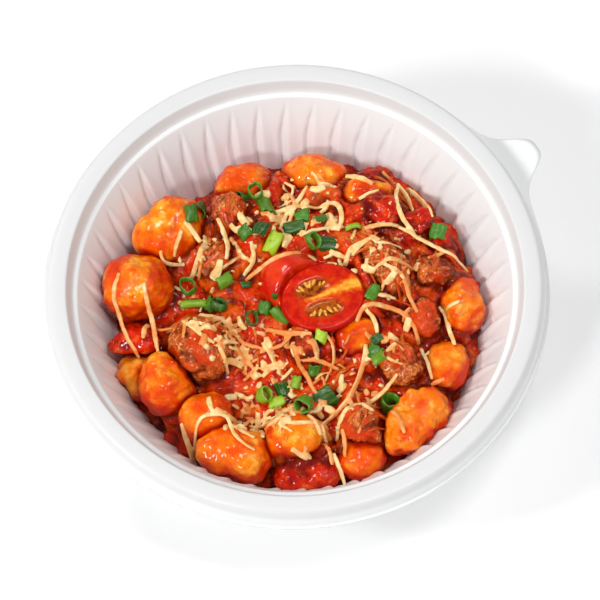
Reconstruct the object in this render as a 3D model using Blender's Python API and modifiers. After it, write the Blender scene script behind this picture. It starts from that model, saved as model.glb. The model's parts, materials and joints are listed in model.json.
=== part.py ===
"""Potato gnocchi in meat sauce, built together with its ribbed takeaway bowl.

Metres, +Z up.  The origin is the middle of the bowl's base, on the table; +X is to the
right and -Y is the side nearest to whoever eats from it.  The bowl is a thin thermoformed
shell: a broad sloping rim with a pull tab, a snap step for a lid, and a ribbed wall.  In it
lies one heap of sauce, and half sunk in that lie the gnocchi, the pieces of meat, the
stewed tomato and the two halves of a cherry tomato.
"""
import math
from dataclasses import dataclass

import bmesh
import bpy
from mathutils import Euler, Vector, noise

MM = 0.001

# --- driving dimensions of the bowl ---------------------------------------------------
RIM_RADIUS = 84.0 * MM          # outermost edge of the lip
BOWL_HEIGHT = 56.0 * MM         # from the table to the crest of the rim
SHELL = 0.7 * MM                # thickness of the plastic
LIP_WIDTH = 0.9 * MM            # flat trimmed edge round the foot of the skirt
SKIRT_HEIGHT = 5.0 * MM
SKIRT_FLARE = 1.0 * MM
CREST_RADIUS = 75.9 * MM
RIM_DROP = 2.85 * MM            # from the crest down to the shoulder of the rim
STEP_DEPTH = 4.9 * MM           # snap step that a lid closes on
STEP_LEAN = 1.9 * MM
LEDGE_WIDTH = 2.3 * MM
WALL_LEAN = 0.42                # how far the wall leans in for each metre down
RIB_COUNT = 48
RIB_DEPTH = 1.0 * MM            # grooves between the ribs, outwards from the wall
RIB_TOP = 2.0 * MM              # smooth band above the grooves
RIB_RUN_IN = 14.0 * MM          # length over which a groove opens to its full depth
CORNER = 8.0 * MM               # radius between the wall and the floor
FOOT_WIDTH = 7.0 * MM
FOOT_RECESS = 1.2 * MM          # the middle of the floor stands clear of the table
SEGMENTS = 2 * RIB_COUNT

TAB_ANGLE = math.radians(32.2)
TAB_HALF_ANGLE = math.radians(9.6)
TAB_LENGTH = 13.0 * MM
TAB_BREADTH = math.radians(4.9) # half angle where the tab has half its length
TAB_ROUNDNESS = 3.2
TAB_ROOT = 0.6 * MM             # how far the tab already stands out at its two ends
TAB_ROWS = 2
TAB_SPLITS = 2                  # extra points in each step of the lip that the tab grows from

# --- driving dimensions of the food ---------------------------------------------------
GAP = 0.3 * MM                  # clearance between pieces that touch
WALL_CLEARANCE = 0.5 * MM       # between the sauce and the wall, level across
SAUCE_SEGMENTS = RIB_COUNT
SAUCE_RINGS = 7
SAUCE_LEVEL = 22.5 * MM         # mean height of the sauce where it meets the wall
SAUCE_SLANT = 4.0 * MM          # it stands higher at the back right
SAUCE_SLANT_ANGLE = math.radians(60.0)
HEAP_RISE = 19.0 * MM           # how much higher the heap is in the middle
HEAP_SHOULDER = 2.4             # 2 is a round dome, more has a flatter top
SAUCE_LUMP = 1.3 * MM           # height of the lumps of mince under the sauce
LUMP_SPACING = 7.0 * MM
CARRY_DEPTH = 0.52              # the sauce stands this share of a half height below a middle
CARRY_SPREAD = 0.85             # and reaches this share of the half length round it
TOUCHING = 0.85                 # pieces whose reaches add up to this share of their distance press
PRESS = 9                       # sharpness of the flats where pieces press together
FACING = 0.05                   # least slope at which a flat shortens a piece
WAIST_LENGTH = 0.33             # share of the half length that a gnocco's pinched waist takes up
WEDGE_TAPER = 1.5
HALF_SHIFT = 0.4                # a half tomato's cut lies this share of its height over its middle
LARGE_PIECE = 8.0               # half length in millimetres from which a piece gets the finer mesh
LARGE_MESH = (12, 7)            # sides and rings
SMALL_MESH = (9, 6)


@dataclass
class Piece:
    """One piece of food: its middle, half sizes and heading in millimetres and degrees."""
    name: str
    at: tuple
    size: tuple
    heading: float = 0.0
    tilt: float = 0.0
    form: str = "gnocco"
    waist: float = 0.0


GNOCCHI = [
    Piece("gnocchi_back_left", (-16, 47.8, 33.5), (10.2, 8.2, 8.0), heading=10),
    Piece("gnocchi_back", (8.5, 50, 33), (11.8, 8.0, 8.0), heading=-22),
    Piece("gnocchi_back_right", (26, 42, 34), (11.5, 8.0, 8.0), heading=12),
    Piece("gnocchi_left_large", (-41, 31, 36), (13.5, 11.0, 11.0), heading=48, waist=0.12),
    Piece("gnocchi_left_round", (-53.5, 11, 38), (13.4, 11.2, 10.4), heading=4),
    Piece("gnocchi_left_low", (-54, -18, 28), (8.5, 7.0, 8.0), heading=110),
    Piece("gnocchi_left_tall", (-44, -24, 36), (11.0, 9.4, 9.8), heading=100, waist=0.08),
    Piece("gnocchi_front_left_small", (-31, -37, 35), (9.2, 8.0, 8.2), heading=20),
    Piece("gnocchi_front_left_long", (-23, -50.5, 33), (17.0, 10.4, 10.4), heading=-25, waist=0.12),
    Piece("gnocchi_front", (-3, -46, 36), (9.8, 8.0, 8.2), heading=10),
    Piece("gnocchi_front_right_small", (20, -52, 32.5), (8.5, 7.2, 7.5), heading=-30),
    Piece("gnocchi_front_right_long", (38, -42, 34), (16.0, 9.8, 9.8), heading=52, waist=0.2),
    Piece("gnocchi_right_low", (49.5, -20.5, 33), (9.0, 7.0, 8.0), heading=75),
    Piece("gnocchi_right", (55.5, -1, 34), (11.2, 7.2, 8.8), heading=88),
    Piece("gnocchi_middle", (20, -11.5, 37.5), (8.2, 7.4, 7.2), heading=30),
]
MEAT = [
    Piece("meatball", (-33, -14.2, 38), (12.0, 11.8, 11.0), form="mince"),
    Piece("meat_back_left", (-21, 34, 41), (8.8, 5.8, 7.2), heading=82, form="mince"),
    Piece("meat_back_left_small", (-14.5, 29, 42), (5.2, 4.2, 4.6), heading=60, form="mince"),
    Piece("meat_left", (-26.5, 17, 42), (7.0, 5.8, 6.2), heading=66, form="mince"),
    Piece("meat_shredded", (30.5, 12.5, 42), (12.0, 7.2, 7.0), heading=-60, form="mince"),
    Piece("meat_right", (46, 11, 38), (7.0, 5.8, 5.8), heading=20, form="mince"),
    Piece("meat_right_low", (42.5, -6.5, 38), (7.8, 6.4, 6.6), heading=-70, form="mince"),
    Piece("meat_right_front", (34.5, -23, 40), (8.4, 6.4, 6.4), heading=-55, form="mince"),
    Piece("meat_front", (20.5, -44, 38), (8.4, 6.4, 6.8), heading=-22, form="mince"),
    Piece("meat_middle", (3.5, -16, 42.5), (5.4, 4.4, 4.4), heading=30, form="mince"),
]
TOMATO = [
    Piece("tomato_back_small", (27.5, 48, 33.5), (4.8, 3.8, 4.0), heading=20, form="dice"),
    Piece("tomato_back", (30, 34, 39.5), (7.8, 6.2, 5.8), heading=-42, form="dice"),
    Piece("tomato_back_right", (42, 30, 37), (5.8, 5.4, 5.2), heading=10, form="dice"),
    Piece("tomato_right", (49, 22.5, 34), (5.8, 5.0, 5.0), heading=-60, form="dice"),
    Piece("tomato_front", (1, -56, 33), (11.2, 6.8, 7.2), heading=0, form="dice"),
    Piece("tomato_left_wedge", (-57.5, -7.8, 37), (13.4, 6.6, 5.8), heading=168, form="wedge"),
]
CHERRY = [
    Piece("cherry_tomato_cut", (9.0, 0.3, 44.0), (14.6, 12.2, 9.5), heading=12, tilt=4, form="half"),
    Piece("cherry_tomato_skin", (-3.0, 7.8, 42.5), (12.6, 10.6, 9.5), heading=-35, tilt=172, form="half"),
]
FORMS = {  # squareness of the outline, size and spacing of the lumps, pointedness of one end
    "gnocco": (2.25, 0.07, 1.1, 0.0),
    "mince": (2.2, 0.13, 2.0, 0.0),
    "dice": (2.9, 0.10, 1.3, 0.0),
    "wedge": (2.3, 0.06, 1.3, 0.75),
    "half": (2.0, 0.0, 1.0, 0.0),
}
COLOURS = {
    "bowl": (0.90, 0.89, 0.88, 1.0),
    "sauce": (0.56, 0.05, 0.012, 1.0),
    "gnocchi": (0.90, 0.28, 0.02, 1.0),
    "meat": (0.34, 0.09, 0.035, 1.0),
    "tomato": (0.62, 0.03, 0.015, 1.0),
}


# --- scene helpers --------------------------------------------------------------------
def clear_scene():
    for old in list(bpy.data.objects):
        bpy.data.objects.remove(old, do_unlink=True)


def new_collection(name):
    collection = bpy.data.collections.new(name)
    bpy.context.scene.collection.children.link(collection)
    return collection


def make_material(name, roughness):
    material = bpy.data.materials.new(name)
    material.use_nodes = True
    shader = material.node_tree.nodes["Principled BSDF"]
    shader.inputs["Base Color"].default_value = COLOURS[name]
    shader.inputs["Roughness"].default_value = roughness
    shader.inputs["Metallic"].default_value = 0.0
    return material


def add_object(name, mesh, collection, material):
    thing = bpy.data.objects.new(name, mesh)
    collection.objects.link(thing)
    mesh.materials.clear()
    mesh.materials.append(material)
    mesh.shade_smooth()
    return thing


def mesh_from(build, name):
    """Finish a closed bmesh as a mesh of that name, with its faces pointing out."""
    bmesh.ops.recalc_face_normals(build, faces=build.faces)
    if build.calc_volume(signed=True) < 0:
        bmesh.ops.reverse_faces(build, faces=build.faces)
    mesh = bpy.data.meshes.new(name)
    build.to_mesh(mesh)
    build.free()
    return mesh


# --- the bowl -------------------------------------------------------------------------
LEDGE_HEIGHT = BOWL_HEIGHT - STEP_DEPTH - 0.2 * MM
LEDGE_RADIUS = CREST_RADIUS - STEP_LEAN - LEDGE_WIDTH
WALL_ANGLE = math.atan(WALL_LEAN)


def wall_radius(height):
    """Inside radius of the wall, on the panels between two grooves."""
    return LEDGE_RADIUS - WALL_LEAN * (LEDGE_HEIGHT - height)


def floor_edge():
    """Radius where the rounded corner meets the foot, and the foot's inside height."""
    turn = math.pi / 2 - WALL_ANGLE
    foot = SHELL
    corner_top = foot + CORNER * (1 - math.cos(turn))
    radius = wall_radius(corner_top) - CORNER * math.sin(turn)
    return radius, foot, turn


def groove_depth(height):
    """A groove starts at a point under the smooth band and opens on its way down."""
    below = LEDGE_HEIGHT - RIB_TOP - height
    opening = min(1.0, max(0.0, below / RIB_RUN_IN))
    fading = min(1.0, (height - SHELL) / CORNER)
    return RIB_DEPTH * opening * fading


def bowl_profile():
    """Upper and inner side of the shell, from the lip over the crest down to the middle."""
    lip_height = BOWL_HEIGHT - RIM_DROP - SKIRT_HEIGHT
    skirt_foot = RIM_RADIUS - LIP_WIDTH
    shoulder = skirt_foot - SKIRT_FLARE
    points = [
        (RIM_RADIUS, lip_height),
        (skirt_foot, lip_height),
        (shoulder, BOWL_HEIGHT - RIM_DROP),
        (CREST_RADIUS, BOWL_HEIGHT),
        (CREST_RADIUS - STEP_LEAN, BOWL_HEIGHT - STEP_DEPTH),
        (LEDGE_RADIUS, LEDGE_HEIGHT),
    ]
    edge, foot, turn = floor_edge()
    corner_top = foot + CORNER * (1 - math.cos(turn))
    for height in (LEDGE_HEIGHT - RIB_TOP, LEDGE_HEIGHT - RIB_TOP - RIB_RUN_IN, corner_top):
        points.append((wall_radius(height), height))
    points.append((edge, foot))
    points.append((edge - FOOT_WIDTH, foot))
    points.append((edge - FOOT_WIDTH - FOOT_RECESS, foot + FOOT_RECESS))
    points.append((0.0, foot + FOOT_RECESS))
    return points


def turned_surface(points, segments):
    """Turn an open profile about Z with the Screw modifier and return it as a bmesh."""
    profile = bpy.data.meshes.new("profile")
    edges = [(index, index + 1) for index in range(len(points) - 1)]
    profile.from_pydata([(radius, 0.0, height) for radius, height in points], edges, [])
    holder = bpy.data.objects.new("profile", profile)
    bpy.context.scene.collection.objects.link(holder)
    screw = holder.modifiers.new("Screw", "SCREW")
    screw.steps = segments
    screw.render_steps = segments
    screw.use_merge_vertices = True
    screw.merge_threshold = 0.00005
    evaluated = holder.evaluated_get(bpy.context.evaluated_depsgraph_get())
    surface = bpy.data.meshes.new_from_object(evaluated)
    bpy.data.objects.remove(holder, do_unlink=True)
    build = bmesh.new()
    build.from_mesh(surface)
    bpy.data.meshes.remove(surface)
    bmesh.ops.remove_doubles(build, verts=build.verts, dist=0.00002)
    return build


def press_grooves(build):
    """Move every second meridian outwards, so that the wall is fluted."""
    pitch = 2 * math.pi / RIB_COUNT
    for vert in build.verts:
        radius = math.hypot(vert.co.x, vert.co.y)
        if not floor_edge()[0] < radius < LEDGE_RADIUS:
            continue
        depth = groove_depth(vert.co.z)
        angle = math.atan2(vert.co.y, vert.co.x)
        if round(2 * angle / pitch) % 2:
            continue
        vert.co.x *= 1 + depth / radius
        vert.co.y *= 1 + depth / radius


def tab_reach(angle):
    """How far the pull tab stands out of the lip at this angle: a round tongue on soft fillets."""
    across = abs(angle - TAB_ANGLE)
    if across >= TAB_HALF_ANGLE:
        return 0.0
    return max(TAB_ROOT, TAB_LENGTH / (1 + (across / TAB_BREADTH) ** TAB_ROUNDNESS))


def on_lip(vert, reach=0.0):
    """Put a point of the tab back on the lip's circle, or that far outside it."""
    angle = math.atan2(vert.co.y, vert.co.x)
    vert.co.x = (RIM_RADIUS + reach) * math.cos(angle)
    vert.co.y = (RIM_RADIUS + reach) * math.sin(angle)


def new_items(items, kind):
    return [item for item in items if isinstance(item, kind)]


def pull_tab(build):
    """Draw the edge of the lip out into the tab, row by row."""
    root = []
    for edge in build.edges:
        middle = (edge.verts[0].co + edge.verts[1].co) / 2
        if edge.is_boundary and tab_reach(math.atan2(middle.y, middle.x)) > 0.0:
            root.append(edge)
    split = bmesh.ops.subdivide_edges(build, edges=root, cuts=TAB_SPLITS)
    for vert in new_items(split["geom_inner"], bmesh.types.BMVert):
        on_lip(vert)
    front = set(root) | set(new_items(split["geom"], bmesh.types.BMEdge))
    front = [edge for edge in front if edge.is_boundary]
    for row in range(1, TAB_ROWS + 1):
        grown = bmesh.ops.extrude_edge_only(build, edges=front)["geom"]
        fresh = set(new_items(grown, bmesh.types.BMVert))
        for vert in fresh:
            reach = tab_reach(math.atan2(vert.co.y, vert.co.x))
            on_lip(vert, max(TAB_ROOT, reach) * row / TAB_ROWS)
        front = [edge for edge in new_items(grown, bmesh.types.BMEdge) if fresh.issuperset(edge.verts)]


def make_bowl(collection):
    build = turned_surface(bowl_profile(), SEGMENTS)
    press_grooves(build)
    pull_tab(build)
    bmesh.ops.recalc_face_normals(build, faces=build.faces)
    highest = max(build.faces, key=lambda face: face.calc_center_median().z)
    if highest.normal.z < 0:
        bmesh.ops.reverse_faces(build, faces=build.faces)
    mesh = bpy.data.meshes.new("bowl")
    build.to_mesh(mesh)
    build.free()
    bowl = add_object("bowl", mesh, collection, make_material("bowl", 0.35))
    shell = bowl.modifiers.new("Shell", "SOLIDIFY")
    shell.thickness = SHELL
    shell.offset = -1.0
    shell.use_even_offset = True
    return bowl


# --- the pieces of food ---------------------------------------------------------------
def outline_radius(piece, direction):
    """Distance from the middle of a free piece to its surface in a local direction."""
    square, lump, spacing, point = FORMS[piece.form]
    along, across, up = (value * MM for value in piece.size)
    if point and direction.x > 0:
        narrowing = 1 - point * direction.x ** WEDGE_TAPER
        across *= narrowing
        up *= narrowing
    total = abs(direction.x / along) ** square
    total += abs(direction.y / across) ** square
    total += abs(direction.z / up) ** square
    radius = total ** (-1 / square)
    place = Vector(piece.at) + direction * spacing
    radius *= 1 + lump * noise.noise(place)
    if piece.waist:
        share = direction.x * radius / along
        radius *= 1 - piece.waist * math.exp(-(share / WAIST_LENGTH) ** 2)
    return radius


def reach(piece, normal):
    """How far a free piece reaches in a world direction."""
    local = piece_turn(piece).inverted() @ normal
    return math.sqrt(sum((value * MM * part) ** 2 for value, part in zip(piece.size, local)))


def piece_turn(piece):
    tilt = math.radians(piece.tilt)
    return Euler((tilt, 0.0, math.radians(piece.heading))).to_matrix()


def wall_planes(middle):
    """Flats just inside the fluted wall, one for each panel, and the floor's, seen from a middle."""
    planes = []
    inward = math.cos(math.pi / RIB_COUNT)
    for index in range(RIB_COUNT):
        angle = 2 * math.pi * index / RIB_COUNT
        normal = Vector((math.cos(angle), math.sin(angle), -WALL_LEAN)).normalized()
        foot = Vector((math.cos(angle), math.sin(angle), 0)) * wall_radius(0.0) * inward
        planes.append((normal, (foot - middle).dot(normal) - GAP))
    return planes


def neighbour_planes(piece, pieces):
    """The flat between a piece and each other piece that would otherwise run into it."""
    planes = []
    middle = Vector(piece.at) * MM
    for other in pieces:
        if other is piece:
            continue
        between = Vector(other.at) * MM - middle
        distance = between.length
        normal = between / distance
        own = reach(piece, normal)
        others = reach(other, normal)
        if own + others > TOUCHING * distance:
            planes.append((normal, distance * own / (own + others) - GAP / 2))
    return planes


def pressed(vector, planes):
    """Shorten a vector from a piece's middle, so that it stays inside all the flats."""
    length = vector.length
    direction = vector / length
    total = length ** -PRESS
    for normal, distance in planes:
        slope = direction.dot(normal)
        if slope > FACING:
            total += (distance / slope) ** -PRESS
    return direction * total ** (-1 / PRESS)


def make_piece(piece, pieces, collection, material, growth=0.0):
    """A piece pressed between its neighbours, or that shape grown a little, as a cutter."""
    build = bmesh.new()
    sides, rings = LARGE_MESH if max(piece.size) > LARGE_PIECE else SMALL_MESH
    bmesh.ops.create_uvsphere(build, u_segments=sides, v_segments=rings, radius=1.0)
    if piece.form == "half":
        bmesh.ops.bisect_plane(build, geom=build.verts[:] + build.edges[:] + build.faces[:],
                               plane_co=(0, 0, 0), plane_no=(0, 0, 1), clear_outer=True)
        rim = [edge for edge in build.edges if edge.is_boundary]
        cut_face = bmesh.ops.holes_fill(build, edges=rim)["faces"]
        bmesh.ops.poke(build, faces=cut_face)
    bmesh.ops.triangulate(build, faces=build.faces, quad_method="FIXED")
    middle = Vector(piece.at) * MM
    planes = wall_planes(middle) + neighbour_planes(piece, pieces)
    turn = piece_turn(piece)
    shift = Vector((0, 0, HALF_SHIFT * piece.size[2] * MM))
    for vert in build.verts:
        if piece.form == "half":
            local = Vector(part * value * MM for part, value in zip(vert.co, piece.size))
            local += shift
        else:
            direction = vert.co.normalized()
            local = direction * outline_radius(piece, direction)
        world = pressed(turn @ local, planes)
        vert.co = middle + world * (1 + growth / world.length)
    name = piece.name + ("_cutter" if growth else "")
    return add_object(name, mesh_from(build, name), collection, material)


# --- the sauce ------------------------------------------------------------------------
def sauce_level(angle):
    """Height of the sauce where it meets the wall."""
    return SAUCE_LEVEL + SAUCE_SLANT * math.cos(angle - SAUCE_SLANT_ANGLE)


def sauce_height(x, y, pieces):
    """Top of the sauce: a heap, higher in the middle, that carries each piece."""
    edge = sauce_level(math.atan2(y, x))
    share = min(1.0, math.hypot(x, y) / wall_radius(edge))
    height = edge + HEAP_RISE * (1 - share ** HEAP_SHOULDER)
    height += SAUCE_LUMP * noise.noise(Vector((x, y, 0)) / LUMP_SPACING)
    top = height
    for piece in pieces:
        carried = (piece.at[2] - CARRY_DEPTH * piece.size[2]) * MM
        spread = CARRY_SPREAD * piece.size[0] * MM
        away = math.hypot(x - piece.at[0] * MM, y - piece.at[1] * MM) / spread
        top = max(top, height + (carried - height) * math.exp(-away ** 4))
    return top


def sauce_profile():
    """Level heap from the middle of the floor, up beside the wall and over to the middle."""
    edge, foot, turn = floor_edge()
    corner_top = foot + CORNER * (1 - math.cos(turn))
    points = [(0.0, foot + FOOT_RECESS + GAP)]
    points.append((edge - WALL_CLEARANCE, foot + FOOT_RECESS + GAP))
    points.append((wall_radius(corner_top) - WALL_CLEARANCE, corner_top))
    outer = wall_radius(SAUCE_LEVEL) - WALL_CLEARANCE
    for ring in range(SAUCE_RINGS + 1):
        points.append((outer * math.sqrt(1 - ring / SAUCE_RINGS), SAUCE_LEVEL))
    return points


def make_sauce(pieces, cutters, collection, material):
    """Turn the level heap, raise its top to the lumpy height, and press the pieces into it."""
    build = turned_surface(sauce_profile(), SAUCE_SEGMENTS)
    outer = wall_radius(SAUCE_LEVEL) - WALL_CLEARANCE
    for vert in build.verts:
        if vert.co.z < SAUCE_LEVEL - GAP:
            continue
        level = sauce_level(math.atan2(vert.co.y, vert.co.x))
        at_wall = vert.co.xy.length > outer - GAP
        widening = (wall_radius(level) - WALL_CLEARANCE) / outer
        vert.co.x *= widening
        vert.co.y *= widening
        vert.co.z = level if at_wall else sauce_height(vert.co.x, vert.co.y, pieces)
    bmesh.ops.triangulate(build, faces=build.faces)
    sauce = add_object("sauce", mesh_from(build, "sauce"), collection, material)
    for cutter in cutters:
        cut = sauce.modifiers.new(cutter.name, "BOOLEAN")
        cut.operation = "DIFFERENCE"
        cut.solver = "MANIFOLD"     # EXACT leaves open edges where many sockets meet
        cut.object = cutter
    keep_largest_body(sauce)
    return sauce


def keep_largest_body(thing):
    """Apply the cuts, then drop the crumbs that they leave between the pieces."""
    evaluated = thing.evaluated_get(bpy.context.evaluated_depsgraph_get())
    mesh = bpy.data.meshes.new_from_object(evaluated)
    build = bmesh.new()
    build.from_mesh(mesh)
    bpy.data.meshes.remove(mesh)
    bmesh.ops.remove_doubles(build, verts=build.verts, dist=0.000002)
    left = set(build.verts)
    bodies = []
    while left:
        body = {left.pop()}
        edge_of_body = list(body)
        while edge_of_body:
            vert = edge_of_body.pop()
            for edge in vert.link_edges:
                other = edge.other_vert(vert)
                if other in left:
                    left.remove(other)
                    body.add(other)
                    edge_of_body.append(other)
        bodies.append(body)
    bodies.sort(key=len, reverse=True)
    for body in bodies[1:]:
        bmesh.ops.delete(build, geom=list(body), context="VERTS")
    bmesh.ops.triangulate(build, faces=build.faces)
    thing.modifiers.clear()
    build.to_mesh(thing.data)
    build.free()


def main():
    clear_scene()
    parts = new_collection("gnocchi_bowl")
    cutting = new_collection("cutters")
    make_bowl(parts)
    pieces = GNOCCHI + MEAT + TOMATO + CHERRY
    finishes = {"gnocchi": make_material("gnocchi", 0.3), "meat": make_material("meat", 0.5),
                "tomato": make_material("tomato", 0.2), "sauce": make_material("sauce", 0.25)}
    cutters = []
    for group, finish in ((GNOCCHI, "gnocchi"), (MEAT, "meat"), (TOMATO, "tomato"), (CHERRY, "tomato")):
        for piece in group:
            make_piece(piece, pieces, parts, finishes[finish])
            cutter = make_piece(piece, pieces, cutting, finishes["sauce"], growth=GAP)
            cutter.hide_render = True
            cutter.display_type = "WIRE"
            cutters.append(cutter)
    make_sauce(pieces, cutters, parts, finishes["sauce"])


main()
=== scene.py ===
"""Looks of the gnocchi bowl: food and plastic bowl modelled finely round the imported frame.

Lengths are in metres, or in millimetres where a comment or docstring says so.  Each visible
piece replaces its plain counterpart in the frame.
"""

import json
import math
import random

import bmesh
import bpy
from mathutils import Matrix, Vector, noise
from mathutils.bvhtree import BVHTree

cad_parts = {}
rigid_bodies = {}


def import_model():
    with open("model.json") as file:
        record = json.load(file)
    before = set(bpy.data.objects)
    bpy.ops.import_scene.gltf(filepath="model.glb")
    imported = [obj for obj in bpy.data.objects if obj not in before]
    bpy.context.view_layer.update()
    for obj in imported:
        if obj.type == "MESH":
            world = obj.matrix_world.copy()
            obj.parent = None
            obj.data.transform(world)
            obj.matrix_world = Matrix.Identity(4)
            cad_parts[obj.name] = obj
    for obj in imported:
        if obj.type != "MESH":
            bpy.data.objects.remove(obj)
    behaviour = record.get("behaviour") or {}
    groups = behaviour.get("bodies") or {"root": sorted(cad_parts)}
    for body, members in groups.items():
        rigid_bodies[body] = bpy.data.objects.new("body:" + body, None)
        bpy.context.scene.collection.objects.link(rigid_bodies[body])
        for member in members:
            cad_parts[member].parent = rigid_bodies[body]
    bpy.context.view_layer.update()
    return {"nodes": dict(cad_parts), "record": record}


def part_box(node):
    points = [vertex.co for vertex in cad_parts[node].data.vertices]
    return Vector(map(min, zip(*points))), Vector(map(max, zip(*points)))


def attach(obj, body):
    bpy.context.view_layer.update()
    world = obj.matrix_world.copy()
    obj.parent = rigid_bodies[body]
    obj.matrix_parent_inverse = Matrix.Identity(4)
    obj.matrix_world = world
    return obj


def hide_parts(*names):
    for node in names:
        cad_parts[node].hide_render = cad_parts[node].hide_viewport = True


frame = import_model()

MM = 0.001
WELD = 0.01 * MM        # points closer than this become one
BODY = "root"
SLOTS = {row["node"]: row["material_slot"] for row in frame["record"]["subparts"]}

# --- the bowl's dimensions, as in the frame ---
BOWL_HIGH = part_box("bowl")[1]
RIM_RADIUS = BOWL_HIGH.x + 0.9 * MM
CREST_Z = BOWL_HIGH.z
SHELL = 0.7 * MM
CREST_RADIUS = RIM_RADIUS - 8.4 * MM
STEP_DEPTH = 4.9 * MM
STEP_LEAN = 2.3 * MM
LEDGE_Z = CREST_Z - 5.1 * MM
LEDGE_RADIUS = CREST_RADIUS - 3.7 * MM
WALL_START = LEDGE_RADIUS - 1.1 * MM
WALL_LEAN = 0.42
FLARE_HEIGHT = 11.0 * MM
RIB_COUNT = 48
RIB_STEPS = 16          # faces round the bowl for each rib
RIB_SHARE = 0.85        # how much of its pitch a rib fills
RIB_APEX = 0.40         # where its sharp step stands, in its own width from its middle
RIB_CREST = 0.05        # where its slant ends and the low swell behind it begins
RIB_SWELL = 0.6         # how far the swell goes inwards, the step outwards being 1
RIB_TOP_Z = LEDGE_Z - 1.6 * MM
RIB_SIZES = dict(rib_count=RIB_COUNT, depth=1.3 * MM, top=RIB_TOP_Z, run_in=13.0 * MM)
TAB_ANGLE = math.radians(32.2)
TAB_LENGTH = 13.0 * MM
TAB_BREADTH = math.radians(4.9)
TAB_ROUNDNESS = 3.2

# --- helpers ---


def srgb(red, green, blue):
    """A colour given on a scale to 255, made linear."""
    linear = []
    for value in (red / 255, green / 255, blue / 255):
        linear.append(value / 12.92 if value <= 0.04045 else ((value + 0.055) / 1.055) ** 2.4)
    return (*linear, 1.0)


def smooth_step(value, low, high):
    share = min(1.0, max(0.0, (value - low) / (high - low)))
    return share * share * (3 - 2 * share)


def flat_way(angle):
    """Unit vector in the table's plane."""
    return Vector((math.cos(angle), math.sin(angle), 0.0))


def new_object(name, data):
    thing = bpy.data.objects.new(name, data)
    bpy.context.scene.collection.objects.link(thing)
    return thing


def built(name, build):
    """A new object from a finished bmesh."""
    mesh = bpy.data.meshes.new(name)
    build.to_mesh(mesh)
    build.free()
    return new_object(name, mesh)


def modify(thing, kind, **settings):
    modifier = thing.modifiers.new(kind.title(), kind)
    for name, value in settings.items():
        setattr(modifier, name, value)


def shaped_mesh(thing):
    """What its modifiers make of a thing, as a plain mesh."""
    evaluated = thing.evaluated_get(bpy.context.evaluated_depsgraph_get())
    return bpy.data.meshes.new_from_object(evaluated)


def settled(thing):
    """Give a piece what its modifiers make of it as its own mesh."""
    mesh = shaped_mesh(thing)
    thing.modifiers.clear()
    old = thing.data
    thing.data = mesh
    bpy.data.meshes.remove(old)
    mesh.name = thing.name
    return thing


def remember(thing, name, values):
    """Store a number at each point of a piece, for its finish."""
    thing.data.attributes.new(name, "FLOAT", "POINT").data.foreach_set("value", values)


def place(thing, slot, *nodes, material=None):
    """Smooth a finished piece, give it any material handed to it, attach it to the body and hide the frame
    nodes it replaces.
    """
    if material:
        thing.data.materials.append(material)
    thing.data.shade_smooth()
    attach(thing, BODY)
    if nodes:
        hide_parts(*nodes)
    return thing


def surface_of(pieces):
    """One search tree over the faces of some pieces."""
    corners, faces = [], []
    for piece in pieces:
        first = len(corners)
        corners.extend(vert.co.copy() for vert in piece.data.vertices)
        faces.extend([first + index for index in face.vertices] for face in piece.data.polygons)
    return BVHTree.FromPolygons(corners, faces)


class Wiring:
    """Short calls that add nodes to a tree and join them."""

    def __init__(self, tree):
        self.tree = tree

    def add(self, kind, feeds=None, **settings):
        node = self.tree.nodes.new(kind)
        for name, value in settings.items():
            setattr(node, name, value)
        for name, value in (feeds or {}).items():
            self.feed(node.inputs[name], value)
        return node

    def feed(self, socket, value):
        if isinstance(value, bpy.types.Node):
            value = next(output for output in value.outputs if output.enabled)
        if isinstance(value, bpy.types.NodeSocket):
            self.tree.links.new(value, socket)
        else:
            socket.default_value = value

    def maths(self, operation, first, second=0.0, third=0.0, clamp=False):
        feeds = {0: first, 1: second, 2: third}
        return self.add("ShaderNodeMath", feeds, operation=operation, use_clamp=clamp).outputs[0]

    def vector(self, operation, first, second=(0.0, 0.0, 0.0)):
        """Vector maths; a SCALE has the number second."""
        feeds = {0: first, "Scale" if operation == "SCALE" else 1: second}
        node = self.add("ShaderNodeVectorMath", feeds, operation=operation)
        return node.outputs[1 if operation == "LENGTH" else 0]

    def ramp(self, value, low, high, to_low=0.0, to_high=1.0):
        """Follow value from low to high, and stay level outside."""
        feeds = {"Value": value, "From Min": low, "From Max": high, "To Min": to_low, "To Max": to_high}
        return self.add("ShaderNodeMapRange", feeds, interpolation_type="SMOOTHSTEP").outputs[0]

    def parts(self, vector):
        return self.add("ShaderNodeSeparateXYZ", {0: vector}).outputs


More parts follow.
